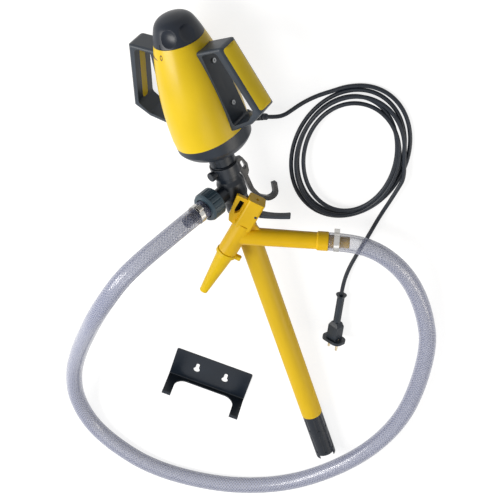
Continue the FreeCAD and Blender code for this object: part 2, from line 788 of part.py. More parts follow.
def hook_strip():
    """The J of the hook, a flat bar bent along its line in the XZ plane."""
    count = len(HOOK_LINE)
    left = []
    right = []
    for i, (u, v) in enumerate(HOOK_LINE):
        before = HOOK_LINE[max(i - 1, 0)]
        after = HOOK_LINE[min(i + 1, count - 1)]
        into = V(u - before[0], v - before[1], 0) if i else V(after[0] - u, after[1] - v, 0)
        out = V(after[0] - u, after[1] - v, 0) if i < count - 1 else into
        bend = into.getAngle(out)
        mean = into.normalize().add(out.normalize()).normalize()
        side = V(-mean.y, mean.x, 0) * (HOOK_T / 2 / math.cos(bend / 2))
        radius = HOOK_ROUNDS[i]
        left.append((u + side.x, v + side.y, max(radius - HOOK_T / 2, 0)))
        right.append((u - side.x, v - side.y, radius + HOOK_T / 2 if radius else 0))
    return plate_xz(left + right[::-1], HOOK_W / 2)


def hook_clamp():
    socket = SOCKET_R
    body = ring(CLAMP_R, socket, CLAMP_END, CLAMP_TOP)
    eye = plate_xz(sharp(EYE_OUTLINE, 3.0), HOOK_W / 2)
    hole = Part.makeCylinder(EYE_HOLE_R, HOOK_W + 2, V(0, -HOOK_W / 2 - 1, 0), V(0, 1, 0))
    ends = [V(u, 0, v) for u, v in (EYE_TOP, EYE_LOW)]
    slot = [shifted(hole, end.x, 0, end.z) for end in ends]
    across = ends[1].sub(ends[0]).normalize()
    side = V(across.z, 0, -across.x) * EYE_HOLE_R
    middle = Part.makePolygon([
        ends[0].add(side), ends[1].add(side), ends[1].sub(side), ends[0].sub(side), ends[0].add(side)])
    middle.translate(V(0, -HOOK_W / 2 - 1, 0))
    slot.append(Part.Face(middle).extrude(V(0, HOOK_W + 2, 0)))
    hook = eye.fuse(hook_strip()).cut(slot).cut(ring(socket, 0, SOCKET_TOP - TEE_R, 0))
    boss = shifted(along_x(ring(CLAMP_BOSS_R, 0, socket, KNOB_START - GAP)), 0, 0, SCREW_Z)
    bore = shifted(along_x(ring(KNOB_SHANK + RUN_FIT, 0, 0, KNOB_START)), 0, 0, SCREW_Z)
    body = body.fuse([turned(boss, OUTLET_TURN), turned(hook, HOOK_TURN)])
    return body.cut([turned(bore, OUTLET_TURN), ring(socket, 0, CLAMP_END - 1, CLAMP_TOP + 1)]).removeSplitter()


def clamp_screw():
    head = spun([
        (0, KNOB_START, 0), (KNOB_R, KNOB_START, 0.8), (KNOB_R, KNOB_START + KNOB_T, 1.2),
        (0, KNOB_START + KNOB_T, 0)])
    flute = shifted(ring(KNOB_FLUTE_R, 0, KNOB_START - 1, KNOB_START + KNOB_T + 1), KNOB_R + KNOB_FLUTE_R / 2, 0, 0)
    body = head.cut(around(flute, KNOB_FLUTES))
    body = body.fuse(ring(KNOB_SHANK, 0, SOCKET_R + GAP, KNOB_START + 1)).removeSplitter()
    return turned(shifted(along_x(body), 0, 0, SCREW_Z), OUTLET_TURN)


# Pump head and hose union

def on_outlet(shape):
    """A shape drawn about +Z, moved to the axis of the side outlet."""
    return turned(shifted(along_x(shape), 0, 0, TEE_Z), OUTLET_TURN)


def outlet_body():
    tee_top = TEE_Z + TEE_HALF
    tee_low = TEE_Z - TEE_HALF
    sleeve = TUBE_R + SLEEVE_WALL
    flow = TUBE_R - TUBE_WALL
    seal_end = SOCKET_FLOOR - SEAL_WEB
    body = spun([
        (0, SOCKET_TOP, 0), (SOCKET_R, SOCKET_TOP, 1.5), (SOCKET_R, tee_top + TEE_SLOPE, 3),
        (TEE_R, tee_top, 4), (TEE_R, tee_low, 4), (sleeve, tee_low - TEE_SLOPE, 3),
        (sleeve, HEAD_END, 1.2), (0, HEAD_END, 0)])
    branch = ring(OUTLET_R, 0, 0, OUTLET_END).fuse(spun([
        (0, THREAD_START, 0), (THREAD_R, THREAD_START, 0), (THREAD_R, OUTLET_END, 1), (0, OUTLET_END, 0)]))
    body = body.fuse(on_outlet(branch))
    seal_r = INNER_R + 0.5
    bores = [
        ring(SPIGOT_R, 0, SOCKET_FLOOR, SOCKET_TOP + 1),
        ring(seal_r, 0, seal_end - 1, SOCKET_FLOOR + 1),
        ring(flow, 0, HEAD_STOP - 1, seal_end),
        ring(TUBE_SEAT_R, 0, HEAD_END - 1, HEAD_STOP),
        on_outlet(ring(OUTLET_BORE, 0, 0, OUTLET_END + 1)).cut(ring(flow, 0, seal_end, SOCKET_TOP + 1)),
    ]
    return body.cut(bores).removeSplitter()


def shaft_seal():
    body = ring(INNER_R + 0.5, SHAFT_R + RUN_FIT, SOCKET_FLOOR - SEAL_WEB, SOCKET_FLOOR)
    return body.cut(ring(INNER_R - 1, SHAFT_R + 1.5, SOCKET_FLOOR - 2, SOCKET_FLOOR + 1))


def web_start():
    return OUTLET_END + WASHER_T + TAIL_FLANGE_T + GAP


def hose_start():
    return web_start() + NUT_WEB + GAP


def union_nut():
    front = web_start()
    body = spun([
        (THREAD_R + GAP, NUT_START, 0), (NUT_R, NUT_START, 1.5), (NUT_R, front + NUT_WEB, 0),
        (NUT_R - 2.5, NUT_END, 0), (HOSE_R + 2, NUT_END, 0), (HOSE_R + 2, front + NUT_WEB, 0),
        (HOSE_BORE + GAP, front + NUT_WEB, 0), (HOSE_BORE + GAP, front, 0), (THREAD_R + GAP, front, 0)])
    groove = shifted(ring(NUT_GRIP_R, 0, NUT_START + 3, front + NUT_WEB - 1), NUT_R + NUT_GRIP_R - NUT_GRIP_DEPTH, 0, 0)
    return on_outlet(body.cut(around(groove, NUT_GRIPS)))


def outlet_gasket():
    return on_outlet(ring(THREAD_R - 2, OUTLET_BORE, OUTLET_END, OUTLET_END + WASHER_T))


def barbed_tail(start, flange, length):
    """Hose tail about +Z: a plain neck to the hose's end, then barbs inside it."""
    neck = HOSE_BORE - BARB_H
    corners = [(TAIL_BORE, start - flange), (neck, start - flange)]
    for i in range(TAIL_BARBS):
        corners.append((neck, start + BARB_PITCH * i + 1))
        corners.append((HOSE_BORE - SEAT_FIT, start + BARB_PITCH * i + 1))
    corners.append((TAIL_NOSE_R, start + BARB_PITCH * TAIL_BARBS))
    corners.append((TAIL_NOSE_R, start + length - 1))
    corners.append((TAIL_BORE, start + length))
    return spun(sharp(corners))


def outlet_hose_tail():
    flange = OUTLET_END + WASHER_T
    tail = barbed_tail(hose_start(), hose_start() - flange, TAIL_LEN)
    return on_outlet(tail.fuse(ring(TAIL_FLANGE_R, TAIL_BORE, flange, flange + TAIL_FLANGE_T)).removeSplitter())


def ear_clamp(start):
    """Steel clamp about +Z with one folded ear on its +X side."""
    outer = HOSE_R + EAR_T
    band = ring(outer, 0, start, start + EAR_W)
    ear = slab((0, -EAR_HALF, start), (outer + EAR_H, EAR_HALF, start + EAR_W))
    edges = [edge for edge in ear.Edges if edge.BoundBox.XMin > outer and edge.BoundBox.ZLength > EAR_W / 2]
    ear = ear.makeFillet(EAR_HALF * 0.45, edges)
    room = slab((0, EAR_T - EAR_HALF, start - 1), (outer + EAR_H - EAR_T, EAR_HALF - EAR_T, start + EAR_W + 1))
    room = room.cut(ring(outer, 0, start - 2, start + EAR_W + 2))
    body = band.fuse(ear).cut([room, ring(HOSE_R, 0, start - 1, start + EAR_W + 1)])
    return body.removeSplitter()


# Immersion tube, drive shaft and foot

def outer_tube():
    inside = TUBE_R - TUBE_WALL
    return spun([
        (inside, TUBE_END, 0), (TUBE_R, TUBE_END, 0), (TUBE_R, HEAD_END, 0), (TUBE_SEAT_R, HEAD_END, 0),
        (TUBE_SEAT_R, HEAD_STOP, 0), (inside, HEAD_STOP, 0)])


def shaft_tube():
    body = ring(INNER_R, INNER_BORE, INNER_END, SOCKET_FLOOR - SEAL_WEB)
    return body


def shaft_bushes():
    bush = ring(INNER_BORE, SHAFT_R + RUN_FIT, -BUSH_L / 2, BUSH_L / 2)
    return [shifted(bush, 0, 0, z) for z in BUSH_Z]


def drive_shaft():
    return ring(SHAFT_R, 0, IMPELLER_Z - IMPELLER_H / 2, DRIVER_MID - DOG_H - 1)


def flutes(low, high):
    """Shallow hollows down the outside of the foot."""
    at = FOOT_R + FLUTE_R - FLUTE_DEPTH
    cutter = shifted(ring(FLUTE_R, 0, low + FLUTE_MARGIN, high - FLUTE_MARGIN), at, 0, 0)
    return around(cutter, FOOT_FLUTES, FOOT_NOTCH_TURN)


def foot_collar():
    wall = TUBE_R - TUBE_WALL
    body = spun([
        (FOOT_BORE, COLLAR_END, 0), (FOOT_R, COLLAR_END, 0), (FOOT_R, TUBE_END, 0.8), (wall, TUBE_END, 0),
        (wall, TUBE_END + FOOT_SPIGOT, 0), (FOOT_BORE, TUBE_END + FOOT_SPIGOT, 0)])
    hub = ring(INNER_R + 2, INNER_R, INNER_END, INNER_END + VANE_H)
    vane = slab((INNER_R + 1, -VANE_T / 2, INNER_END), (FOOT_BORE + 1, VANE_T / 2, INNER_END + VANE_H))
    return body.cut(flutes(COLLAR_END, TUBE_END)).fuse([hub] + around(vane, 3)).removeSplitter()


def suction_foot():
    body = spun([
        (FOOT_BORE, FOOT_END, 0), (FOOT_R, FOOT_END, 2.5), (FOOT_R, COLLAR_END, 0.8), (FOOT_BORE, COLLAR_END, 0)])
    notch = slab((-2 * FOOT_R, -FOOT_NOTCH / 2, FOOT_END - 1), (2 * FOOT_R, FOOT_NOTCH / 2, FOOT_END + FOOT_STEP))
    return body.cut(flutes(FOOT_END + FOOT_STEP, COLLAR_END)).cut(turned(notch, FOOT_NOTCH_TURN))


def leaning_blades(count, hub_r, tip_r, low, high, lean, thick):
    """Flat blades about the axis, tilted so that they drive along it."""
    rise = high - low
    run = rise * math.tan(math.radians(lean))
    corners = [(-run / 2 - thick / 2, low), (-run / 2 + thick / 2, low), (run / 2 + thick / 2, high),
               (run / 2 - thick / 2, high)]
    face = Part.Face(outline(sharp(corners), lambda u, v: V(hub_r - 1, u, v)))
    blade = face.extrude(V(tip_r - hub_r + 1, 0, 0)).common(ring(tip_r, 0, low, high))
    return around(blade, count)


def impeller():
    low = IMPELLER_Z - IMPELLER_H / 2
    high = IMPELLER_Z + IMPELLER_H / 2
    hub = ring(IMPELLER_HUB, SHAFT_R, low, high)
    blades = leaning_blades(IMPELLER_BLADES, IMPELLER_HUB, IMPELLER_R, low, high, IMPELLER_LEAN, VANE_T)
    return hub.fuse(blades).removeSplitter()


# Motor inside

def motor_frame():
    inside = FRAME_R - FRAME_WALL
    body = ring(FRAME_R, inside, FRAME_LOW, FRAME_TOP)
    plate = ring(inside + 1, BEARING_R, FRAME_TOP - PLATE_T, FRAME_TOP)
    post = shifted(ring(POST_R, 0, FRAME_TOP - 1, BOARD_Z), inside - POST_INSET, 0, 0)
    window = shifted(along_x(ring(FRAME_SLOT_R, 0, 0, FRAME_R + 1)), 0, 0, (FAN_LOW + FAN_LOW + FAN_H) / 2)
    windows = around(window, FRAME_SLOTS)
    body = body.cut(windows).fuse([plate] + around(post, 3, POST_TURN))
    holder_room = slab((COMM_R + 1, -BRUSH_W / 2 - HOLDER_T, BRUSH_Z - BRUSH_H / 2 - HOLDER_T),
                       (FRAME_R + 1, BRUSH_W / 2 + HOLDER_T, BRUSH_Z + BRUSH_H / 2 + HOLDER_T))
    return body.cut(around(holder_room, 2)).removeSplitter()


def stator_core():
    """Laminated ring with two pole shoes round the armature."""
    outer = FRAME_R - FRAME_WALL
    core = ring(outer, POLE_BORE_R, CORE_LOW, CORE_TOP)
    room = ring(outer - YOKE, POLE_BORE_R, CORE_LOW - 1, CORE_TOP + 1)
    gap = room.common(sector(outer, CORE_LOW - 2, CORE_TOP + 2, 180 - POLE_ARC))
    return core.cut(around(gap, 2, 90))


def field_windings():
    """Two coils, each lying beside its pole and over the ends of the core."""
    inner = POLE_BORE_R + COIL_CLEAR
    outer = inner + COIL_SIDE
    sides = ring(outer, inner, CORE_LOW, CORE_TOP).common(
        sector(outer, CORE_LOW - 1, CORE_TOP + 1, 180 - POLE_ARC - 4))
    ends = ring(outer, inner + 2, CORE_LOW - WINDING_OVER, CORE_LOW).fuse(
        ring(outer, inner + 2, CORE_TOP, CORE_TOP + WINDING_OVER))
    return ends.fuse(around(sides, 2, 90)).removeSplitter()


def rotor_shaft():
    return ring(ROTOR_R, 0, DRIVER_MID + DOG_H, FRAME_TOP + 2)


def armature():
    core = ring(CORE_R, ROTOR_R, CORE_LOW, CORE_TOP)
    slot = slab((CORE_R - CORE_SLOT_D, -CORE_SLOT_W / 2, CORE_LOW - 1),
                (CORE_R + 1, CORE_SLOT_W / 2, CORE_TOP + 1))
    core = core.cut(around(slot, CORE_SLOTS))
    coils = [
        ring(CORE_R - WINDING_INSET, ROTOR_R, CORE_LOW - WINDING_OVER, CORE_LOW),
        ring(CORE_R - WINDING_INSET, ROTOR_R, CORE_TOP, CORE_TOP + WINDING_OVER),
    ]
    return core.fuse(coils).removeSplitter()


def commutator():
    body = ring(COMM_R, ROTOR_R, COMM_LOW, COMM_TOP)
    cut = slab((COMM_R - 1.5, -0.4, COMM_LOW - 1), (COMM_R + 1, 0.4, COMM_TOP + 1))
    riser = ring(COMM_R + 2, ROTOR_R, CORE_TOP + WINDING_OVER, COMM_LOW)
    return body.cut(around(cut, COMM_BARS)).fuse(riser).removeSplitter()


def brush_box(first, last, wall):
    """The hollow or full section that the brushes slide in."""
    return slab((first, -BRUSH_W / 2 - wall, BRUSH_Z - BRUSH_H / 2 - wall),
                (last, BRUSH_W / 2 + wall, BRUSH_Z + BRUSH_H / 2 + wall))


def carbon_brushes():
    brush = brush_box(COMM_R - 1, COMM_R + GAP + BRUSH_LEN, 0).cut(ring(COMM_R + GAP, 0, COMM_LOW, COMM_TOP + 1))
    return around(brush, 2)


def brush_holders():
    box = brush_box(COMM_R + 5, FRAME_R + 1, HOLDER_T).cut(brush_box(COMM_R + 4, FRAME_R - 1, 0))
    return around(box, 2)


def ball_bearing(low):
    """Two races with a filled channel between them."""
    high = low + BEARING_T
    body = ring(BEARING_R, ROTOR_R + RUN_FIT, low, high)
    channel = ring(BEARING_R - RACE_T, ROTOR_R + RACE_T, 0, 1)
    return body.cut([shifted(channel, 0, 0, low - 0.5), shifted(channel, 0, 0, high - 0.5)])


def cooling_fan():
    reach = FRAME_R - FRAME_WALL - FAN_CLEAR
    disc = ring(reach, ROTOR_R, FAN_LOW, FAN_LOW + FAN_DISC).fuse(ring(ROTOR_R + 4, ROTOR_R, FAN_LOW, FAN_LOW + FAN_H))
    blade = slab((ROTOR_R + 3, -FAN_BLADE_T / 2, FAN_LOW + 1), (reach, FAN_BLADE_T / 2, FAN_LOW + FAN_H))
    hinge = V(ROTOR_R + 3, 0, 0)
    blade.rotate(hinge, UP, FAN_LEAN)
    blade = blade.common(ring(reach, 0, FAN_LOW, FAN_LOW + FAN_H))
    return disc.fuse(around(blade, FAN_BLADES)).removeSplitter()


def dogs(low, high, start):
    """Two driving dogs of a coupling half."""
    dog = sector(DRIVER_R, low, high, DOG_ANGLE).cut(ring(ROTOR_R - 1, 0, low - 1, high + 1))
    return around(dog, 2, start)


def motor_coupling():
    body = ring(DRIVER_R, ROTOR_R, DRIVER_MID, DRIVER_TOP)
    return body.fuse(dogs(DRIVER_MID - DOG_H, DRIVER_MID + 1, 0)).cut(
        ring(ROTOR_R, 0, DRIVER_MID + DOG_H, DRIVER_TOP + 1)).removeSplitter()


def pump_coupling():
    top = DRIVER_MID - DOG_H
    body = ring(DRIVER_R, SHAFT_R, DRIVER_END, top)
    return body.fuse(dogs(top - 1, DRIVER_MID, 90)).cut(ring(SHAFT_R, 0, DRIVER_END - 1, top - 1)).removeSplitter()


def control_board():
    board = ring(BOARD_R, 0, BOARD_Z, BOARD_Z + BOARD_T)
    pot = ring(POT_R, 0, BOARD_Z + BOARD_T, BOARD_Z + BOARD_T + POT_H)
    sink = slab((SINK_X, -SINK_HALF, BOARD_Z + BOARD_T), (SINK_X + SINK_W, SINK_HALF, BOARD_Z + BOARD_T + POT_H))
    room = ring(SPINDLE_R + RUN_FIT, 0, BOARD_Z + BOARD_T + POT_H - POT_DEPTH, BOARD_Z + BOARD_T + POT_H + 1)
    return board.fuse([pot, sink]).cut(room).removeSplitter()


# Dispensing nozzle

def barrel_frame(shape):
    """A shape drawn about +Z, its +Z turned to the rear end of the barrel."""
    return turned(along_x(shape), BARREL_TURN + 180)


def on_barrel(p, m):
    """Plan point at p along the barrel's rear direction and m across it."""
    turn = math.radians(BARREL_TURN + 180)
    return p * math.cos(turn) + m * math.sin(turn), p * math.sin(turn) - m * math.cos(turn)


def barrel_plate(points, half, radius=0.0):
    return plate_xy(sharp([on_barrel(p, m) for p, m in points], radius), half)


def nozzle_body():
    grip = Part.makeCone(HANDLE_TUBE_R, HANDLE_TUBE_END_R, END_COLLAR_START)
    end = spun([
        (0, END_COLLAR_START - 2, 0), (HANDLE_TUBE_END_R, END_COLLAR_START - 2, 0),
        (END_COLLAR_R, END_COLLAR_START, 0), (END_COLLAR_R, END_COLLAR_END, 1.5), (0, END_COLLAR_END, 0)])
    barrel = barrel_frame(spun([
        (0, -BARREL_FRONT, 0), (BARREL_R, -BARREL_FRONT, 1), (BARREL_R, BARREL_REAR, 0), (0, BARREL_REAR, 0)]))
    half = BLOCK_HALF
    block_face = Part.Face(outline(
        sharp([(-half, -half), (half, -half), (half, half), (-half, half)], BLOCK_ROUND), in_xy))
    block = barrel_frame(shifted(block_face, 0, 0, BLOCK_START).extrude(V(0, 0, BLOCK_END - BLOCK_START)))
    eye = barrel_plate(EYE_PLATE, EYE_PLATE_T / 2, 2.5)
    web = plate_xy(sharp(GUSSET), GUSSET_T / 2)
    body = along_x(grip.fuse(end)).fuse([barrel, block, eye, web])
    cap = BLOCK_END - CAP_WALL
    bores = [
        along_x(ring(HANDLE_BORE, 0, 0, END_COLLAR_END + 1)),
        along_x(ring(HOSE_BORE - BARB_H, 0, END_COLLAR_END - TAIL_SEAT, END_COLLAR_END + 1)),
        barrel_frame(ring(BARREL_BORE, 0, -SPOUT_NECK_START, LEVER_SLOT[0] - 6)),
        barrel_frame(ring(SPOUT_NECK_R, 0, -BARREL_FRONT - 1, -SPOUT_NECK_START)),
        barrel_frame(ring(STEM_R + RUN_FIT, 0, 0, BLOCK_END + 1)),
        barrel_frame(ring(STEM_COLLAR_R + 1, 0, LEVER_SLOT[0], cap)),
        barrel_plate([(LEVER_SLOT[0], 0), (LEVER_SLOT[1], 0), (LEVER_SLOT[1], 2 * half), (LEVER_SLOT[0], 2 * half)],
                     LEVER_HALF + GAP),
        barrel_plate(EYE_WINDOW, EYE_PLATE_T, 1.5),
        lever_pin(),
    ]
    return body.cut(bores).removeSplitter()


def lever_pin():
    x, y = on_barrel(LEVER_PIN_P, LEVER_PIN_M)
    return shifted(ring(LEVER_PIN_R, 0, -BLOCK_HALF, BLOCK_HALF), x, y, 0)


def nozzle_lever():
    """Black trigger: a curved blade over the handle, its finger lifting the stem."""
    pin = V(*on_barrel(LEVER_PIN_P, LEVER_PIN_M), 0)
    boss = shifted(ring(LEVER_BOSS_R, 0, -LEVER_HALF, LEVER_HALF), pin.x, pin.y, 0)
    finger = barrel_plate([
        (LEVER_PIN_P - LEVER_FINGER_T / 2, LEVER_PIN_M - LEVER_FINGER), (LEVER_PIN_P + LEVER_FINGER_T / 2,
        LEVER_PIN_M - LEVER_FINGER), (LEVER_PIN_P + LEVER_FINGER_T / 2, LEVER_PIN_M),
        (LEVER_PIN_P - LEVER_FINGER_T / 2, LEVER_PIN_M)], LEVER_HALF)
    neck = blade_plate(LEVER_HALF)
    blade = blade_plate(LEVER_BLADE_HALF)
    outside = barrel_plate([(0, BLOCK_HALF + 2), (2 * BLOCK_END, BLOCK_HALF + 2), (2 * BLOCK_END, 4 * BLOCK_END),
                            (-2 * BLOCK_END, 4 * BLOCK_END), (-2 * BLOCK_END, BLOCK_HALF + 2)], 2 * LEVER_BLADE_HALF)
    body = boss.fuse([finger, neck, blade.common(outside)])
    bore = shifted(ring(LEVER_PIN_R + RUN_FIT, 0, -LEVER_HALF - 1, LEVER_HALF + 1), pin.x, pin.y, 0)
    return body.cut(bore).removeSplitter()


def blade_plate(half):
    """The blade seen from above: hollow on the finger side, thick at the tip."""
    pin = V(*on_barrel(LEVER_PIN_P, LEVER_PIN_M), 0)
    at = lambda x, y: V(pin.x + x, pin.y + y, -half)
    root = LEVER_ROOT
    tip = BLADE_TIP
    edges = [
        Part.Arc(at(0, root), at(BLADE_LEN / 2, BLADE_HOLLOW), at(BLADE_LEN, tip)).toShape(),
        Part.Arc(at(BLADE_LEN, tip), at(BLADE_LEN + tip / 2, 0), at(BLADE_LEN, -tip)).toShape(),
        Part.Arc(at(BLADE_LEN, -tip), at(BLADE_LEN / 2, BLADE_BACK), at(0, -root)).toShape(),
        Part.makeLine(at(0, -root), at(0, root)),
    ]
    return Part.Face(Part.Wire(edges)).extrude(V(0, 0, 2 * half))


def valve_stem():
    """Rod along the barrel with the valve at its front and a collar that the lever lifts."""
    lifted = LEVER_PIN_P + LEVER_FINGER_T / 2 + GAP
    valve = spun(sharp([(0, STEM_FRONT), (VALVE_R - 3, STEM_FRONT), (VALVE_R, STEM_FRONT + VALVE_T / 2),
                        (VALVE_R, STEM_FRONT + VALVE_T), (0, STEM_FRONT + VALVE_T)]))
    rod = ring(STEM_R, 0, STEM_FRONT + 1, STEM_REAR)
    collar = ring(STEM_COLLAR_R, 0, lifted, lifted + STEM_COLLAR_T)
    return barrel_frame(valve.fuse([rod, collar]).removeSplitter())


def valve_spring():
    """Ring-shaped spring between the stem's collar and the rear wall, at its pressed length."""
    low = BLOCK_END - CAP_WALL - 2 * SPRING_WIRE * (SPRING_TURNS + 1)
    return barrel_frame(ring(SPRING_R, SPRING_R - 2 * SPRING_WIRE, low, BLOCK_END - CAP_WALL))


def spout():
    """Tapered spout with its neck inside the barrel, about the barrel's axis."""
    bore = SPOUT_NECK_R - SPOUT_WALL
    return barrel_frame(spun(sharp([
        (bore, -SPOUT_NECK_START), (SPOUT_NECK_R, -SPOUT_NECK_START), (SPOUT_NECK_R, -SPOUT_START),
        (SPOUT_R, -SPOUT_START), (SPOUT_TIP_R, -SPOUT_END), (SPOUT_TIP_R - SPOUT_WALL, -SPOUT_END),
        (bore, -SPOUT_START)])))


def spout_ring():
    low = -BARREL_FRONT - GAP - RING_T
    body = spun([(SPOUT_NECK_R + RUN_FIT, low, 0), (RING_R, low, 1.2), (RING_R, low + RING_T, 1.2),
                 (SPOUT_NECK_R + RUN_FIT, low + RING_T, 0)])
    nub = slab((-NUB_W / 2, -NUB_OUT, low), (NUB_W / 2, 2 - RING_R, low + RING_T))
    edges = [edge for edge in nub.Edges if edge.BoundBox.YMax < -RING_R and edge.BoundBox.ZLength > RING_T / 2]
    return barrel_frame(body.fuse(nub.makeFillet(NUB_W * 0.35, edges)).removeSplitter())


def nozzle_hose_tail():
    return along_x(barbed_tail(END_COLLAR_END, TAIL_SEAT, NOZZLE_TAIL_LEN))


# Wall bracket, lying on its plate with its arms up

def wall_bracket():
    t = BRACKET_T
    arm = BRACKET_ARM
    lip = BRACKET_LIP + t
    bend = BRACKET_BEND
    section = [
        (BRACKET_PLATE, 0, 0), (0, 0, bend + t), (0, arm, bend + t), (lip, arm, 0), (lip, arm - t, 0),
        (t, arm - t, bend), (t, t, bend), (BRACKET_PLATE, t, 0)]
    face = Part.Face(outline(section, lambda u, v: V(-BRACKET_W / 2, u, v)))
    sheet = face.extrude(V(BRACKET_W, 0, 0))
    half = BRACKET_W / 2 - BRACKET_ARM_W
    arch = [(-half, BRACKET_WEB, BRACKET_ARCH_R), (half, BRACKET_WEB, BRACKET_ARCH_R),
            (half, 2 * arm, 0), (-half, 2 * arm, 0)]
    opening = plate_xz(arch, lip + 1)
    cuts = [opening]
    for side in (-1, 1):
        x = side * KEY_SPACING / 2
        cuts.append(shifted(ring(KEY_R, 0, -1, t + 1), x, KEY_FROM_FOLD, 0))
        cuts.append(shifted(ring(KEY_SLOT_R, 0, -1, t + 1), x, KEY_FROM_FOLD + KEY_RISE, 0))
        cuts.append(slab((x - KEY_SLOT_R, KEY_FROM_FOLD, -1), (x + KEY_SLOT_R, KEY_FROM_FOLD + KEY_RISE, t + 1)))
        corner = slab((side * BRACKET_W / 2 - PLATE_ROUND, BRACKET_PLATE - PLATE_ROUND, -1),
                      (side * BRACKET_W / 2 + PLATE_ROUND, BRACKET_PLATE + 1, t + 1))
        keep = shifted(ring(PLATE_ROUND, 0, -1, t + 1), side * (BRACKET_W / 2 - PLATE_ROUND),
                       BRACKET_PLATE - PLATE_ROUND, 0)
        corner = corner.common(slab((side * (BRACKET_W / 2 - PLATE_ROUND) - (PLATE_ROUND if side < 0 else 0),
                                     BRACKET_PLATE - PLATE_ROUND, -1),
                                    (side * (BRACKET_W / 2 - PLATE_ROUND) + (PLATE_ROUND if side > 0 else 0),
                                     BRACKET_PLATE + 1, t + 1)))
        cuts.append(corner.cut(keep))
    return sheet.cut(cuts).removeSplitter()


# Plug

def plug_side(half, deep):
    """One of the two outlines of the plug's body, neck to flange, as deep as twice the depth."""
    shoulder = PLUG_NECK_END + PLUG_SHOULDER
    return plate_xz([
        (-PLUG_NECK_R, PLUG_NECK_END, 0), (PLUG_NECK_R, PLUG_NECK_END, 0), (half, shoulder, PLUG_ROUND),
        (half, PLUG_BODY_END + 1, 0), (-half, PLUG_BODY_END + 1, 0), (-half, shoulder, PLUG_ROUND)], deep)


def plug_body():
    collar = Part.makeCone(PLUG_COLLAR_R, PLUG_NECK_R, PLUG_COLLAR_T)
    neck = ring(PLUG_NECK_R, 0, PLUG_COLLAR_T - 1, PLUG_BODY_END)
    body = plug_side(PLUG_BODY_HALF, PLUG_BODY_THICK).common(
        turned(plug_side(PLUG_BODY_THICK, PLUG_BODY_HALF + 1), 90))
    flange_face = Part.Face(outline(
        sharp([(-FLANGE_HALF, -FLANGE_THICK), (FLANGE_HALF, -FLANGE_THICK), (FLANGE_HALF, FLANGE_THICK),
               (-FLANGE_HALF, FLANGE_THICK)], FLANGE_THICK * 0.75), in_xy))
    flange = shifted(flange_face, 0, 0, PLUG_BODY_END).extrude(V(0, 0, FLANGE_T))
    body = collar.fuse([neck, body, flange])
    face = PLUG_BODY_END + FLANGE_T
    holes = [shifted(ring(PIN_R, 0, face - PIN_SEAT, face + 1), x, 0, 0) for x in (-PIN_SPACING / 2, PIN_SPACING / 2)]
    holes.append(ring(CORD_R, 0, -1, PLUG_COLLAR_T))
    return along_x(body.cut(holes).removeSplitter())


def plug_pins():
    face = PLUG_BODY_END + FLANGE_T
    pin = spun([(0, face - PIN_SEAT, 0), (PIN_R, face - PIN_SEAT, 0), (PIN_R, face + PIN_LEN, 1.6),
                (0, face + PIN_LEN, 0)])
    return [along_x(shifted(pin, x, 0, 0)) for x in (-PIN_SPACING / 2, PIN_SPACING / 2)]


# Cords: straight runs joined by tangent arcs, and the coil's arcs from its formula

def swept(edges, radius):
    """A round bar along a chain of edges."""
    path = Part.Wire(edges)
    first = edges[0]
    start = first.valueAt(first.FirstParameter)
    towards = first.tangentAt(first.FirstParameter)
    circle = Part.Wire([Part.makeCircle(radius, start, towards)])
    bar = path.makePipeShell([circle], True, False)
    share = bar.Volume / (math.pi * radius ** 2 * path.Length)
    print("  length %.0f mm, volume over section times length %.4f" % (path.Length, share))
    return bar


def route_edges(name, points):
    """Straight runs and tangent arcs through the corners of a route."""
    edges = []
    here = points[0]
    radii = []
    for before, corner, after in zip(points, points[1:], points[2:]):
        back = before.sub(corner)
        forth = after.sub(corner)
        half_turn = (math.pi - back.getAngle(forth)) / 2
        reach = 0.45 * min(back.Length, forth.Length)
        radii.append(reach / math.tan(half_turn))
        first = corner.add(back.normalize() * reach)
        last = corner.add(forth.normalize() * reach)
        edges.append(Part.makeLine(here, first))
        edges.append(arc_end(first, corner.sub(first), last))
        here = last
    edges.append(Part.makeLine(here, points[-1]))
    print(name, "radii", " ".join("%.0f" % radius for radius in radii))
    return edges


def coil_point(turns):
    """Centre of the cord after so many turns of the coil, clockwise from above."""
    inward = COIL_BAND * (1 - abs(2 * turns / COIL_TURNS - 1))
    climb = min(max((turns - COIL_TURNS / 2) * 2 + 0.5, 0), 1)
    lift = COIL_LIFT * (climb * climb * (3 - 2 * climb))
    angle = math.radians(COIL_FROM) - 2 * math.pi * turns
    flat = V((COIL_A - inward) * math.cos(angle), (COIL_B - inward) * math.sin(angle), 0)
    flat = turned_vector(flat, COIL_AXIS)
    return V(COIL_X + flat.x, COIL_Y + flat.y, CORD_R + FLOOR_GAP + lift)


def turned_vector(vector, degrees):
    turn = math.radians(degrees)
    return V(vector.x * math.cos(turn) - vector.y * math.sin(turn),
             vector.x * math.sin(turn) + vector.y * math.cos(turn), vector.z)


def coil_direction(turns):
    step = 1e-4
    return coil_point(turns + step).sub(coil_point(turns - step)).normalize()


def coil_edges():
    """Pairs of arcs that follow the coil's line from station to station."""
    count = round(COIL_TURNS * ARCS_PER_TURN)
    edges = []
    for i in range(count):
        a, b = COIL_TURNS * i / count, COIL_TURNS * (i + 1) / count
        p, q = coil_point(a), coil_point(b)
        s, t = coil_direction(a), coil_direction(b)
        chord = q.sub(p)
        both = s.add(t)
        k = 2 * (1 - s.dot(t))
        along = chord.dot(both)
        reach = (math.sqrt(along * along + k * chord.dot(chord)) - along) / k
        joint = p.add(s * reach).add(q.sub(t * reach)) * 0.5
        edges.append(arc_end(p, s, joint))
        edges.append(arc_end(joint, q.sub(t * reach).sub(joint), q))
    return edges


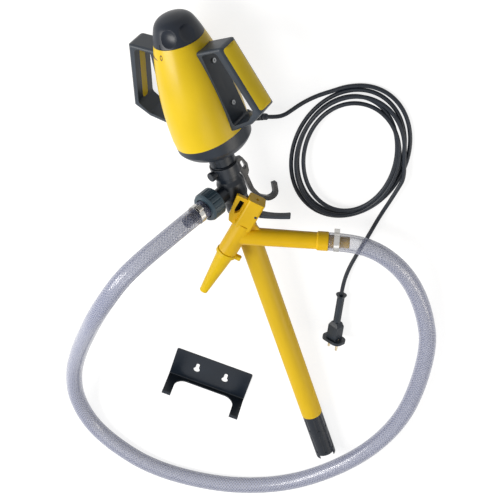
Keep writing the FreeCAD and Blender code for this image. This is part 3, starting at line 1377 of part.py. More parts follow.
def coil_gap():
    """Least gap of the coil to itself, measured on points along its edges."""
    points = []
    for edge in coil_edges():
        points.extend(edge.discretize(12)[:-1])
    near = int(len(points) / COIL_TURNS / 2)
    least = min(points[i].distanceToPoint(points[j])
                for i in range(len(points)) for j in range(i + near, len(points)))
    return least - 2 * CORD_R


# Laying everything down

def lowest(shape):
    return shape.optimalBoundingBox(False, False).ZMin


def pump_tilt():
    """The pump lies on its belly and on the rim of its foot."""
    return math.degrees(math.atan2(BELLY_R - FOOT_R, BELLY_LOW - (FOOT_END + FOOT_STEP)))


def axis_height():
    tilt = math.radians(pump_tilt())
    return BELLY_R * math.cos(tilt) - BELLY_LOW * math.sin(tilt)


def lay(shape, lift):
    """The pump's frame laid on the floor, the right handle lifted by an angle."""
    moved = turned(turned(shape, -lift), pump_tilt() - 90, V(1, 0, 0))
    return shifted(moved, 0, 0, axis_height())


def handle_lift():
    """The pump rolls until its left handle meets the floor."""
    left = handle_solid()
    left.rotate(ORIGIN, UP, 180)
    low, high = 5.0, 60.0
    for _ in range(14):
        middle = (low + high) / 2
        if lowest(lay(left, middle)) > 0:
            low = middle
        else:
            high = middle
    return low


def pump_point(x, y, z, lift):
    """A point of the pump's frame, laid down with it."""
    return lay(Part.Vertex(V(x, y, z)), lift).Point


def place_nozzle(shape, height):
    moved = turned(turned(shape, NOZZLE_TURN), NOZZLE_ROLL, V(0, 1, 0))
    return shifted(moved, NOZZLE_X, NOZZLE_Y, height)


def nozzle_height(body, support):
    """The nozzle comes down until it rests on the pump."""
    height = 2 * BELLY_R
    for _ in range(8):
        height -= place_nozzle(body, height).distToShape(support)[0] - GAP
    return height


def place_plug(shape, tilt, height):
    moved = turned(turned(shape, PLUG_ROLL, V(1, 0, 0)), tilt, V(0, 1, 0))
    return shifted(turned(moved, PLUG_TURN), PLUG_X, PLUG_Y, height)


def plug_rest(body):
    """Tilt and height at which the plug lies on its flange and its collar."""
    reach = -lowest(turned(body, PLUG_ROLL, V(1, 0, 0)))
    tilt = -math.degrees(math.atan2(reach - PLUG_COLLAR_R, PLUG_BODY_END))
    return tilt, -lowest(place_plug(body, tilt, 0))


def build():
    lift = handle_lift()
    support = Part.makeCompound([lay(outer_tube(), lift), lay(outlet_body(), lift)])
    height = nozzle_height(nozzle_body(), support)
    tilt, plug_height = plug_rest(plug_body())
    print("handle lift %.2f, pump tilt %.3f, axis height %.2f" % (lift, pump_tilt(), axis_height()))
    print("nozzle height %.2f, plug tilt %.2f, plug height %.2f" % (height, tilt, plug_height))

    pump = {
        "motor_housing": motor_housing(),
        "base_cover": base_cover(),
        "speed_dial": speed_dial(),
        "dial_spindle": dial_spindle(),
        "handle_right": handle(0),
        "handle_left": handle(180),
        "grip_insert_right": grip_insert(0),
        "grip_insert_left": grip_insert(180),
        "handle_screws": handle_screws(),
        "cable_gland": cable_gland(),
        "coupling_collar": coupling_collar(),
        "hook_clamp": hook_clamp(),
        "clamp_screw": clamp_screw(),
        "outlet_body": outlet_body(),
        "shaft_seal": shaft_seal(),
        "union_nut": union_nut(),
        "outlet_gasket": outlet_gasket(),
        "outlet_hose_tail": outlet_hose_tail(),
        "hose_clamp_outlet": on_outlet(turned(ear_clamp(hose_start() + EAR_AT_OUTLET), 140)),
        "outer_tube": outer_tube(),
        "shaft_tube": shaft_tube(),
        "shaft_bushes": shaft_bushes(),
        "drive_shaft": drive_shaft(),
        "foot_collar": foot_collar(),
        "suction_foot": suction_foot(),
        "impeller": impeller(),
        "motor_frame": motor_frame(),
        "stator_core": stator_core(),
        "field_windings": field_windings(),
        "rotor_shaft": rotor_shaft(),
        "armature": armature(),
        "commutator": commutator(),
        "carbon_brushes": carbon_brushes(),
        "brush_holders": brush_holders(),
        "upper_bearing": ball_bearing(FRAME_TOP - PLATE_T),
        "lower_bearing": ball_bearing(LOWER_BEARING_Z),
        "cooling_fan": cooling_fan(),
        "motor_coupling": motor_coupling(),
        "pump_coupling": pump_coupling(),
        "control_board": control_board(),
    }
    nozzle = {
        "nozzle_body": nozzle_body(),
        "nozzle_lever": nozzle_lever(),
        "lever_pin": lever_pin(),
        "valve_stem": valve_stem(),
        "valve_spring": valve_spring(),
        "spout": spout(),
        "spout_ring": spout_ring(),
        "nozzle_hose_tail": nozzle_hose_tail(),
        "hose_clamp_nozzle": along_x(turned(ear_clamp(END_COLLAR_END + EAR_AT), 60)),
    }
    plug = {"plug_body": plug_body(), "plug_pins": plug_pins()}

    nodes = {}
    for name, shape in pump.items():
        nodes[name] = [lay(one, lift) for one in as_list(shape)]
    for name, shape in nozzle.items():
        nodes[name] = [place_nozzle(one, height) for one in as_list(shape)]
    for name, shape in plug.items():
        nodes[name] = [place_plug(one, tilt, plug_height) for one in as_list(shape)]
    bracket = turned(wall_bracket(), BRACKET_TURN)
    nodes["wall_bracket"] = [shifted(bracket, BRACKET_X, BRACKET_Y, 0)]

    outlet = math.radians(OUTLET_TURN)
    hose_first = [pump_point(r * math.cos(outlet), r * math.sin(outlet), TEE_Z, lift)
                  for r in (hose_start(), hose_start() + HOSE_EXIT_RUN)]
    hose_last = [place_nozzle(Part.Vertex(V(x, 0, 0)), height).Point
                 for x in (END_COLLAR_END + HOSE_NOZZLE_RUN, END_COLLAR_END)]
    hose = hose_first + [V(*point) for point in HOSE_ROUTE] + hose_last
    edges = route_edges("supply_hose", hose)
    nodes["supply_hose"] = [swept(edges, HOSE_R).cut(swept(edges, HOSE_BORE))]

    gland_end = WALL + GLAND_COLLAR + GLAND_LEN
    lead_first = [lay(gland_axis(Part.Vertex(V(0, 0, z))), lift).Point for z in (gland_end, gland_end + LEAD_RUN)]
    coil_start = coil_point(0)
    lead_last = [coil_start.sub(coil_direction(0) * TAIL_RUN), coil_start]
    lead = lead_first + [V(*point) for point in LEAD_ROUTE] + lead_last
    nodes["mains_cord_lead"] = [swept(route_edges("mains_cord_lead", lead), CORD_R)]

    nodes["cord_coil"] = [swept(coil_edges(), CORD_R)]
    print("cord_coil least gap to itself %.2f mm" % coil_gap())

    coil_end = coil_point(COIL_TURNS)
    tail_first = [coil_end, coil_end.add(coil_direction(COIL_TURNS) * TAIL_RUN)]
    tail_last = [place_plug(Part.Vertex(V(x, 0, 0)), tilt, plug_height).Point
                 for x in (PLUG_COLLAR_T - TAIL_RUN, PLUG_COLLAR_T)]
    tail = tail_first + [V(*point) for point in TAIL_ROUTE] + tail_last
    nodes["mains_cord_tail"] = [swept(route_edges("mains_cord_tail", tail), CORD_R)]
    for label, points in (("hose", hose), ("lead", lead), ("tail", tail)):
        print(label, " ".join("(%.1f, %.1f, %.1f)" % (p.x + PUMP_X, p.y + PUMP_Y, p.z) for p in points))
    return nodes


def as_list(shape):
    return shape if isinstance(shape, list) else [shape]


os.makedirs("parts", exist_ok=True)
for name, shapes in build().items():
    solids = []
    for shape in shapes:
        solids.extend(shifted(shape, PUMP_X, PUMP_Y, 0).Solids)
    whole = solids[0] if len(solids) == 1 else Part.makeCompound(solids)
    box = whole.optimalBoundingBox(False, False)
    valid = all(solid.isValid() for solid in solids)
    print("%-20s solids %d %s volume %.0f low %.2f x %.1f %.1f y %.1f %.1f" % (
        name, len(solids), "ok" if valid else "BAD", whole.Volume, box.ZMin, box.XMin, box.XMax, box.YMin, box.YMax))
    whole.exportStep("parts/%s.step" % name)
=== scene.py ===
import math

import bpy
from mathutils import Matrix, Vector


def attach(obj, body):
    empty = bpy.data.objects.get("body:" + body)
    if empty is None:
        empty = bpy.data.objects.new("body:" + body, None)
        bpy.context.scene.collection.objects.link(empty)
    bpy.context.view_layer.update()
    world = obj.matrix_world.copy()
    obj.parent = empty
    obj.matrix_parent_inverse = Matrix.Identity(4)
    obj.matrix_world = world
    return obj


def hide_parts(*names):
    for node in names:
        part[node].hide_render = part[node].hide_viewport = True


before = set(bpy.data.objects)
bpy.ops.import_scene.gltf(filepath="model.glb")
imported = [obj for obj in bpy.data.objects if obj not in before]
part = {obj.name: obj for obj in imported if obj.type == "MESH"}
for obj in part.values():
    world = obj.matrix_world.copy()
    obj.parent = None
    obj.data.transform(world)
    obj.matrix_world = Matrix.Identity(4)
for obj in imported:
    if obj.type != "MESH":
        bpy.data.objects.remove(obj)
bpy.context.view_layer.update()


# Camera and studio. The camera looks down on the set from beyond the motor, rolled so
# that the motor is at the picture's top. One large soft box stands on the picture's
# left and weak ones above and on the right, in a white room.
CAMERA_STANDS = Vector((0.8512, 1.2896, 2.1496))
CAMERA_LOOKS_AT = Vector((0.0166, -0.0152, 0.0))
CAMERA_ROLL = math.radians(-159.83)
camera = bpy.data.objects.new("camera", bpy.data.cameras.new("camera"))
bpy.context.scene.collection.objects.link(camera)
bpy.context.scene.camera = camera
camera.data.sensor_width = 36.0
camera.data.lens = 101.23
camera.data.clip_end = 50.0
facing = (CAMERA_STANDS - CAMERA_LOOKS_AT).to_track_quat("Z", "Y").to_matrix().to_4x4()
camera.matrix_world = Matrix.Translation(CAMERA_STANDS) @ facing @ Matrix.Rotation(CAMERA_ROLL, 4, "Z")

bpy.context.scene.view_settings.view_transform = "Standard"


def soft_box(name, stands, looks_at, width, height, watts, tint):
    """A rectangular lamp turned towards a point."""
    lamp = bpy.data.objects.new(name, bpy.data.lights.new(name, "AREA"))
    bpy.context.scene.collection.objects.link(lamp)
    lamp.data.shape = "RECTANGLE"
    lamp.data.size, lamp.data.size_y = width, height
    lamp.data.energy = watts
    lamp.data.color = tint
    lamp.location = stands
    lamp.rotation_euler = (Vector(looks_at) - Vector(stands)).to_track_quat("-Z", "Y").to_euler()


soft_box("key_box", stands=(-2.0, 0.75, 2.1), looks_at=(0.0, 0.05, 0.0), width=1.3, height=2.2, watts=84,
         tint=(1.0, 0.98, 0.94))
soft_box("top_box", stands=(0.5, -1.2, 2.6), looks_at=(0.0, 0.0, 0.0), width=1.6, height=1.2, watts=8,
         tint=(0.95, 0.97, 1.0))
soft_box("right_box", stands=(1.4, -0.9, 0.6), looks_at=(0.12, -0.25, 0.0), width=0.9, height=0.9, watts=9,
         tint=(1.0, 0.93, 0.82))


def feed(tree, socket, value):
    """Links a socket to another node's output, or sets it to a number or a colour."""
    if isinstance(value, bpy.types.NodeSocket):
        tree.links.new(value, socket)
    else:
        socket.default_value = value


def math_node(tree, kind, *values):
    """One step of arithmetic."""
    step = tree.nodes.new("ShaderNodeMath")
    step.operation = kind
    for socket, value in zip(step.inputs, values):
        feed(tree, socket, value)
    return step.outputs[0]


def rescaled(tree, value, low, high, to_low, to_high):
    """Carries a value from one range over to another and holds it inside that."""
    step = tree.nodes.new("ShaderNodeMapRange")
    bounds = {"From Min": low, "From Max": high, "To Min": to_low, "To Max": to_high}
    for name, bound in bounds.items():
        step.inputs[name].default_value = bound
    feed(tree, step.inputs["Value"], value)
    return step.outputs["Result"]


def seen_directly(tree):
    """1 where the camera, a reflection or clear plastic looks at the surface, else 0."""
    path = tree.nodes.new("ShaderNodeLightPath")
    mirrored = math_node(tree, "MAXIMUM", path.outputs["Is Camera Ray"], path.outputs["Is Glossy Ray"])
    return math_node(tree, "MAXIMUM", mirrored, path.outputs["Is Transmission Ray"])


ROOM_LIGHT = 0.23
room = bpy.data.worlds.new("room")
bpy.context.scene.world = room
room.use_nodes = True
sky = room.node_tree
sky.nodes["Background"].inputs["Color"].default_value = (1.0, 1.0, 1.0, 1.0)
feed(sky, sky.nodes["Background"].inputs["Strength"], rescaled(sky, seen_directly(sky), 0, 1, ROOM_LIGHT, 1))

PAPER_GLOW = 0.80
bpy.ops.mesh.primitive_plane_add(size=40.0, location=(0.0, 0.0, -0.0002))
floor = bpy.context.active_object
floor.name = "floor"
floor_paper = bpy.data.materials.new("white_paper")
floor_paper.use_nodes = True
paper = floor_paper.node_tree
paper.nodes.clear()
matt = paper.nodes.new("ShaderNodeBsdfDiffuse")
matt.inputs["Color"].default_value = (0.36, 0.36, 0.365, 1.0)
glow = paper.nodes.new("ShaderNodeEmission")
glow.inputs["Color"].default_value = (1.0, 1.0, 1.0, 1.0)
feed(paper, glow.inputs["Strength"], math_node(paper, "MULTIPLY", seen_directly(paper), PAPER_GLOW))
both = paper.nodes.new("ShaderNodeAddShader")
feed(paper, both.inputs[0], matt.outputs[0])
feed(paper, both.inputs[1], glow.outputs[0])
paper_out = paper.nodes.new("ShaderNodeOutputMaterial")
feed(paper, paper_out.inputs["Surface"], both.outputs[0])
floor.data.materials.append(floor_paper)


# Mains lead. A round rubber-covered cord, 7.6 mm thick, that runs out of the motor's
# gland, lies in about four loose loops and goes on under the hose to its plug. The
# loops differ in size and cross in two layers, because nothing ties them.
CORD_THICK = 0.0076
CORD_GAP = 0.0002
lead_out = (
    (0.1334, 0.2643, 0.0226), (0.1462, 0.2577, 0.0156), (0.1605, 0.2560, 0.0098),
    (0.1762, 0.2622, 0.0062), (0.1933, 0.2697, 0.0044), (0.2122, 0.2763, 0.0039),
    (0.2322, 0.2812, 0.0039), (0.2535, 0.2843, 0.0040))
lead_in = (
    (0.3405, 0.0985, 0.0122), (0.3255, 0.0800, 0.0122), (0.3055, 0.0565, 0.0121),
    (0.2900, 0.0388, 0.0098), (0.2700, 0.0142, 0.0062), (0.2480, -0.0145, 0.0041),
    (0.2160, -0.0525, 0.0039), (0.1935, -0.0810, 0.0060), (0.1757, -0.1118, 0.0083),
    (0.1662, -0.1375, 0.0111))
LOOPS = 4.3
LOOP_START = math.radians(33)
POINTS_A_LOOP = 20
WIDE_LOOP = (0.2527, 0.1598, 0.1396, 0.1012, math.radians(52.8))   # middle, half length, half width, lean
TIGHT_LOOP = (0.2527, 0.1541, 0.1120, 0.0804, math.radians(63.4))
INWARDS = (-0.1, 0.0, 0.2, 0.42, 0.6, 1.0, 1.0, 0.4, 0.55, 0.05)   # from wide to tight, at each half turn
LAYER_CLIMB = 0.0082


def eased(share):
    """Runs from 0 to 1 as share does, with a soft start and a soft end."""
    return share * share * (3 - 2 * share)


def loop_point(turns):
    """A point of the loops. They wander in and out, and climb one layer while they pass
    half a turn in the middle of their length."""
    half = min(int(2 * turns), len(INWARDS) - 2)
    inward = INWARDS[half] + (INWARDS[half + 1] - INWARDS[half]) * eased(2 * turns - half)
    middle_x, middle_y, long, wide, lean = [
        outer + (inner - outer) * inward for outer, inner in zip(WIDE_LOOP, TIGHT_LOOP)]
    climb = min(max((turns - LOOPS / 2) * 2 + 0.5, 0), 1)
    turn = LOOP_START - 2 * math.pi * turns
    flat = Matrix.Rotation(lean, 2) @ Vector((long * math.cos(turn), wide * math.sin(turn)))
    return (middle_x + flat.x, middle_y + flat.y, CORD_THICK / 2 + CORD_GAP + LAYER_CLIMB * eased(climb))


def cord_curve(name, route, thick):
    """A round cord on one smooth spline."""
    line = bpy.data.curves.new(name, "CURVE")
    line.dimensions = "3D"
    line.resolution_u = 8
    line.bevel_depth = thick / 2
    line.bevel_resolution = 6
    line.use_fill_caps = True
    spline = line.splines.new("NURBS")
    spline.points.add(len(route) - 1)
    for spot, place in zip(spline.points, route):
        spot.co = (*place, 1.0)
    spline.order_u = 3
    spline.use_endpoint_u = True
    cord = bpy.data.objects.new(name, line)
    bpy.context.scene.collection.objects.link(cord)
    return cord


def two_tone(tree, factor, low, high, start=0.0, end=1.0):
    """A colour that runs from low to high while a factor runs from start to end."""
    ramp = tree.nodes.new("ShaderNodeValToRGB")
    for stop, position, colour in zip(ramp.color_ramp.elements, (start, end), (low, high)):
        stop.position = position
        stop.color = (*colour, 1.0)
    feed(tree, ramp.inputs[0], factor)
    return ramp.outputs["Color"]


def laid_over(tree, under, over, factor, kind="MIX"):
    """One colour laid over another."""
    mix = tree.nodes.new("ShaderNodeMix")
    mix.data_type = "RGBA"
    mix.blend_type = kind
    feed(tree, mix.inputs["Factor"], factor)
    feed(tree, mix.inputs["A"], under)
    feed(tree, mix.inputs["B"], over)
    return mix.outputs["Result"]


def patches(tree, place, size, detail):
    """Soft random patches of about a size."""
    noise = tree.nodes.new("ShaderNodeTexNoise")
    noise.inputs["Scale"].default_value = 1 / size
    noise.inputs["Detail"].default_value = detail
    feed(tree, noise.inputs["Vector"], place)
    return noise.outputs["Fac"]


def relief_on(tree, shader, height, strength, depth):
    """Gives a finish a relief and returns the node that makes it."""
    bump = tree.nodes.new("ShaderNodeBump")
    bump.inputs["Strength"].default_value = strength
    bump.inputs["Distance"].default_value = depth
    feed(tree, bump.inputs["Height"], height)
    feed(tree, shader.inputs["Normal"], bump.outputs[0])
    return bump


CLOUD_RANGE = (0.3, 0.7)


def surface(name, colour, gloss, metal=0.0, patch=0.03, mottle=0.12, grain=0.0009, relief=0.06,
            edge_wear_and_highlight=0.0, edge=0.0006, stretch=(1, 1, 1), coat=0.0, shine=0.5):
    """A finish: uneven colour in patches, uneven gloss, a fine grain in relief, and
    edges that are a little rounded and lighter, partly as rubbed wear and partly as a painted edge highlight."""
    finish = bpy.data.materials.new(name)
    finish.use_nodes = True
    tree = finish.node_tree
    shader = tree.nodes["Principled BSDF"]
    shader.inputs["Metallic"].default_value = metal
    shader.inputs["Specular IOR Level"].default_value = shine
    shader.inputs["Coat Weight"].default_value = coat
    shader.inputs["Coat Roughness"].default_value = 0.12
    where = tree.nodes.new("ShaderNodeTexCoord")
    place = tree.nodes.new("ShaderNodeMapping")
    place.inputs["Scale"].default_value = stretch
    feed(tree, place.inputs["Vector"], where.outputs["Object"])

    clouds = patches(tree, place.outputs[0], patch, 3.0)
    dark = [tint * (1 - mottle) for tint in colour]
    light = [min(1.0, tint * (1 + mottle * 0.6)) for tint in colour]
    tone = two_tone(tree, clouds, dark, light, *CLOUD_RANGE)
    dull = rescaled(tree, clouds, *CLOUD_RANGE, gloss * 0.86, min(1.0, gloss * 1.16))
    feed(tree, shader.inputs["Roughness"], dull)

    rounded = tree.nodes.new("ShaderNodeBevel")
    rounded.samples = 4
    rounded.inputs["Radius"].default_value = edge
    bump = relief_on(tree, shader, patches(tree, place.outputs[0], grain, 2.0), relief, 0.0004)
    feed(tree, bump.inputs["Normal"], rounded.outputs[0])

    # Every edge is made lighter alike: partly rubbed wear, partly a painted edge highlight.
    if edge_wear_and_highlight:
        plain = tree.nodes.new("ShaderNodeNewGeometry")
        bent = tree.nodes.new("ShaderNodeVectorMath")
        bent.operation = "DOT_PRODUCT"
        feed(tree, bent.inputs[0], rounded.outputs[0])
        feed(tree, bent.inputs[1], plain.outputs["Normal"])
        wear_and_highlight_mask = rescaled(tree, bent.outputs["Value"], 0.99, 0.80, 0.0, edge_wear_and_highlight)
        wear_and_highlight_tone = (*[min(1.0, tint * 1.6 + 0.06) for tint in colour], 1.0)
        tone = laid_over(tree, tone, wear_and_highlight_tone, wear_and_highlight_mask)
    feed(tree, shader.inputs["Base Color"], tone)
    return finish


def dress(names, finish):
    """Gives carried-over pieces their finish."""
    for name in names:
        part[name].material_slots[0].material = finish


cord_rubber = surface("cord_rubber", (0.012, 0.017, 0.027), 0.42, patch=0.02, mottle=0.2, grain=0.0012,
                      relief=0.05, shine=0.32)
loops = [loop_point(i / POINTS_A_LOOP) for i in range(int(LOOPS * POINTS_A_LOOP) + 1)]
mains_lead = cord_curve("mains_lead", [*lead_out, *loops, *lead_in], CORD_THICK)
mains_lead.data.materials.append(cord_rubber)
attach(mains_lead, "pump_set")
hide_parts("mains_cord_lead", "cord_coil", "mains_cord_tail")


# Plug and cord entry. The plug and the bend protector are moulded round the cord in
# black rubber, and two round metal pins stand in the plug.
plug_rubber = surface("plug_rubber", (0.013, 0.020, 0.031), 0.40, patch=0.012, mottle=0.15, edge_wear_and_highlight=0.35,
                      edge=0.0008, shine=0.35)
dress(["plug_body", "cable_gland"], plug_rubber)
pin_metal = surface("pin_metal", (0.62, 0.52, 0.36), 0.26, metal=1.0, patch=0.004, grain=0.0008, relief=0.03)
dress(["plug_pins"], pin_metal)


# Delivery hose. Clear, soft plastic, 33 mm outside and 25 mm inside, with a net of
# polyester threads laid into its wall. It leaves the pump's outlet, lies in one wide
# bow on the floor and comes back to the nozzle's handle.
HOSE_OUTSIDE = 0.0165
HOSE_INSIDE = 0.0125
HOSE_SIDES = 56
HOSE_LENGTH = 2.13
THREADS_ROUND = 14
THREAD_PITCH = 0.0062
TAIL_GRIP = 0.046
TAIL_FADE = 0.008
TAIL_COVER = 0.45
SLANT_POWER = 1.8
HAZE_SIZE = 0.04
hose_route = (
    (0.0072, 0.1536, 0.1166), (-0.0202, 0.1511, 0.1571), (-0.0574, 0.1387, 0.1890),
    (-0.0971, 0.1233, 0.2160), (-0.1390, 0.0991, 0.2310), (-0.1776, 0.0645, 0.2310),
    (-0.2239, 0.0173, 0.2130), (-0.2760, -0.0435, 0.1720), (-0.3377, -0.1180, 0.1200),
    (-0.3979, -0.2026, 0.0700), (-0.4386, -0.2928, 0.0320), (-0.4389, -0.3772, 0.0180),
    (-0.4047, -0.4426, 0.0167), (-0.3496, -0.5050, 0.0167), (-0.2694, -0.5499, 0.0167),
    (-0.1752, -0.5795, 0.0167), (-0.0629, -0.5840, 0.0167), (0.0435, -0.5560, 0.0167),
    (0.1395, -0.5075, 0.0167), (0.2178, -0.4380, 0.0167), (0.2701, -0.3548, 0.0167),
    (0.3096, -0.2614, 0.0185), (0.3175, -0.1961, 0.0240), (0.3169, -0.1359, 0.0330),
    (0.3072, -0.0782, 0.0460), (0.2871, -0.0336, 0.0575), (0.2617, -0.0041, 0.0640),
    (0.2278, 0.0168, 0.0710), (0.1939, 0.0279, 0.0757))


def smooth_line(route):
    """The points of a smooth spline on a route."""
    bare = cord_curve("route", route, 0.0)
    bare.data.resolution_u = 14
    bpy.context.view_layer.update()
    drawn = bpy.data.meshes.new_from_object(bare.evaluated_get(bpy.context.evaluated_depsgraph_get()))
    points = [corner.co.copy() for corner in drawn.vertices]
    bpy.data.objects.remove(bare)
    bpy.data.meshes.remove(drawn)
    return points


def rings_along(points):
    """For each point of a line: the point, two directions square to the line, and the
    way along the line up to there."""
    rings, travelled = [], 0.0
    across = (points[1] - points[0]).normalized().orthogonal().normalized()
    for i, point in enumerate(points):
        before = points[max(i - 1, 0)]
        after = points[min(i + 1, len(points) - 1)]
        along = (after - before).normalized()
        across = (across - along * across.dot(along)).normalized()
        travelled += (point - before).length
        rings.append((point, across, along.cross(across), travelled))
    return rings


def hose_mesh(name, points, outside, inside, sides):
    """A tube with a wall. Its UV map gives the way along it and round it in metres."""
    rings = rings_along(points)
    corners = []
    for radius in (outside, inside):
        for point, side, up, _ in rings:
            for k in range(sides):
                turn = 2 * math.pi * k / sides
                corners.append(point + (side * math.cos(turn) + up * math.sin(turn)) * radius)
    last = len(rings) - 1
    inner = len(rings) * sides
    round_to = [2 * math.pi * outside * k / sides for k in range(sides + 1)]
    faces, maps = [], []
    for wall in (0, inner):
        for i in range(last):
            here, there = wall + i * sides, wall + (i + 1) * sides
            near, far = rings[i][3], rings[i + 1][3]
            for k in range(sides):
                n = (k + 1) % sides
                quad = [here + k, here + n, there + n, there + k]
                spots = [(near, round_to[k]), (near, round_to[k + 1]),
                         (far, round_to[k + 1]), (far, round_to[k])]
                faces.append(quad if wall == 0 else quad[::-1])
                maps.append(spots if wall == 0 else spots[::-1])
    for i in (0, last):
        end, reached = i * sides, rings[i][3]
        for k in range(sides):
            n = (k + 1) % sides
            quad = [end + k, inner + end + k, inner + end + n, end + n]
            spots = [(reached, round_to[k])] * 2 + [(reached, round_to[k + 1])] * 2
            faces.append(quad if i == 0 else quad[::-1])
            maps.append(spots if i == 0 else spots[::-1])
    mesh = bpy.data.meshes.new(name)
    mesh.from_pydata(corners, [], faces)
    layer = mesh.uv_layers.new(name="braid")
    layer.data.foreach_set("uv", [number for spots in maps for spot in spots for number in spot])
    for i, face in enumerate(mesh.polygons):
        face.use_smooth = True
        face.material_index = 0 if i < last * sides else 1
    hose = bpy.data.objects.new(name, mesh)
    bpy.context.scene.collection.objects.link(hose)
    return hose


def thread_net(tree, along, around):
    """1 on a thread and 0 between: two sets of threads wind round in opposite ways."""
    onward = math_node(tree, "MULTIPLY", along, 2 * math.pi / THREAD_PITCH)
    sideways = math_node(tree, "MULTIPLY", around, THREADS_ROUND / HOSE_OUTSIDE)
    sets = []
    for way in ("ADD", "SUBTRACT"):
        wave = math_node(tree, "SINE", math_node(tree, way, sideways, onward))
        sets.append(rescaled(tree, wave, -0.2, 0.9, 0.0, 1.0))
    return math_node(tree, "MAXIMUM", *sets)


def wall_cover(tree, net, along, cover):
    """How much the wall hides. Where one looks along the wall, through more of it, it
    hides more, and where it is pressed on a tail it hides less."""
    tail = HOSE_LENGTH / 2 - TAIL_GRIP
    from_middle = math_node(tree, "ABSOLUTE", math_node(tree, "SUBTRACT", along, HOSE_LENGTH / 2))
    pressed = rescaled(tree, from_middle, tail, tail + TAIL_FADE, 1.0, TAIL_COVER)
    straight = math_node(tree, "MULTIPLY", rescaled(tree, net, 0, 1, *cover), pressed)
    slant = tree.nodes.new("ShaderNodeLayerWeight")
    slant.inputs["Blend"].default_value = 0.5
    slanting = math_node(tree, "POWER", slant.outputs["Facing"], SLANT_POWER)
    lets_through = math_node(tree, "MULTIPLY", math_node(tree, "SUBTRACT", 1.0, straight),
                             math_node(tree, "SUBTRACT", 1.0, slanting))
    return math_node(tree, "SUBTRACT", 1.0, lets_through)


def braided_plastic(name, clear, thread, cover):
    """Clear plastic with a net of threads in it. cover says how much it hides between
    the threads and on them."""
    finish = bpy.data.materials.new(name)
    finish.use_nodes = True
    tree = finish.node_tree
    shader = tree.nodes["Principled BSDF"]
    shader.inputs["Roughness"].default_value = 0.22
    shader.inputs["IOR"].default_value = 1.5
    shader.inputs["Coat Weight"].default_value = 0.6
    shader.inputs["Coat Roughness"].default_value = 0.06
    braid = tree.nodes.new("ShaderNodeUVMap")
    braid.uv_map = "braid"
    split = tree.nodes.new("ShaderNodeSeparateXYZ")
    feed(tree, split.inputs[0], braid.outputs[0])
    net = thread_net(tree, split.outputs["X"], split.outputs["Y"])
    where = tree.nodes.new("ShaderNodeTexCoord")
    haze = patches(tree, where.outputs["Object"], HAZE_SIZE, 2.0)
    cloudy = two_tone(tree, haze, (0.82, 0.82, 0.86), (1.0, 1.0, 1.0))
    tone = laid_over(tree, two_tone(tree, net, clear, thread), cloudy, 0.5, "MULTIPLY")
    feed(tree, shader.inputs["Base Color"], tone)
    feed(tree, shader.inputs["Alpha"], wall_cover(tree, net, split.outputs["X"], cover))
    relief_on(tree, shader, net, 0.05, 0.0003)
    return finish


hose_points = smooth_line(hose_route)
supply_line = hose_mesh("delivery_hose", hose_points, HOSE_OUTSIDE, HOSE_INSIDE, HOSE_SIDES)
supply_line.data.materials.append(
    braided_plastic("braided_hose", (0.20, 0.24, 0.40), (0.45, 0.47, 0.62), (0.44, 0.58)))
supply_line.data.materials.append(
    braided_plastic("hose_bore", (0.34, 0.38, 0.54), (0.46, 0.49, 0.63), (0.10, 0.14)))
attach(supply_line, "pump_set")
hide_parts("supply_hose")


# Hose clamps and tails. Bright steel ear clamps squeeze the hose on to its barbed
# tails, a black one at the outlet and a yellow one in the nozzle's handle.
clamp_steel = surface("clamp_steel", (0.50, 0.49, 0.47), 0.24, metal=1.0, patch=0.01, mottle=0.10,
                      grain=0.0016, relief=0.05, edge=0.0004)
dress(["hose_clamp_outlet", "hose_clamp_nozzle"], clamp_steel)
tail_black = surface("tail_black", (0.006, 0.009, 0.014), 0.34, patch=0.01, shine=0.3)
dress(["outlet_hose_tail"], tail_black)
tail_yellow = surface("tail_yellow", (0.82, 0.52, 0.006), 0.36, patch=0.01, shine=0.3)
dress(["nozzle_hose_tail"], tail_yellow)


# Motor casing. One glossy yellow moulding, widest low down and drawn in to the dial,
# with the zero mark and the rising wedge of the speed scale printed under the dial.
# The pump was made upright and PUMP_LAID lays it down on the floor.
PUMP_PLACE = (0.0447, 0.2609, 0.06759)
PUMP_TILT = math.radians(3.603)
PUMP_ROLL = math.radians(-23.01)
PUMP_LAID = (Matrix.Translation(PUMP_PLACE) @ Matrix.Rotation(PUMP_TILT - math.pi / 2, 4, "X")
             @ Matrix.Rotation(PUMP_ROLL, 4, "Z"))
CASING_R = 0.0495
ZERO_TURN = math.radians(-98.3)
ZERO_HEIGHT = 0.1896
ZERO_HALF = (0.0030, 0.0042)
ZERO_RING = 0.85
ZERO_LINE = 0.27
WEDGE_POINT = math.radians(-111)
WEDGE_HEIGHT = 0.1833
WEDGE_RISE = 0.0085
WEDGE_FALL = 0.0030
WEDGE_LONG = math.radians(120)
PRINT_INK = (0.16, 0.055, 0.010, 1.0)


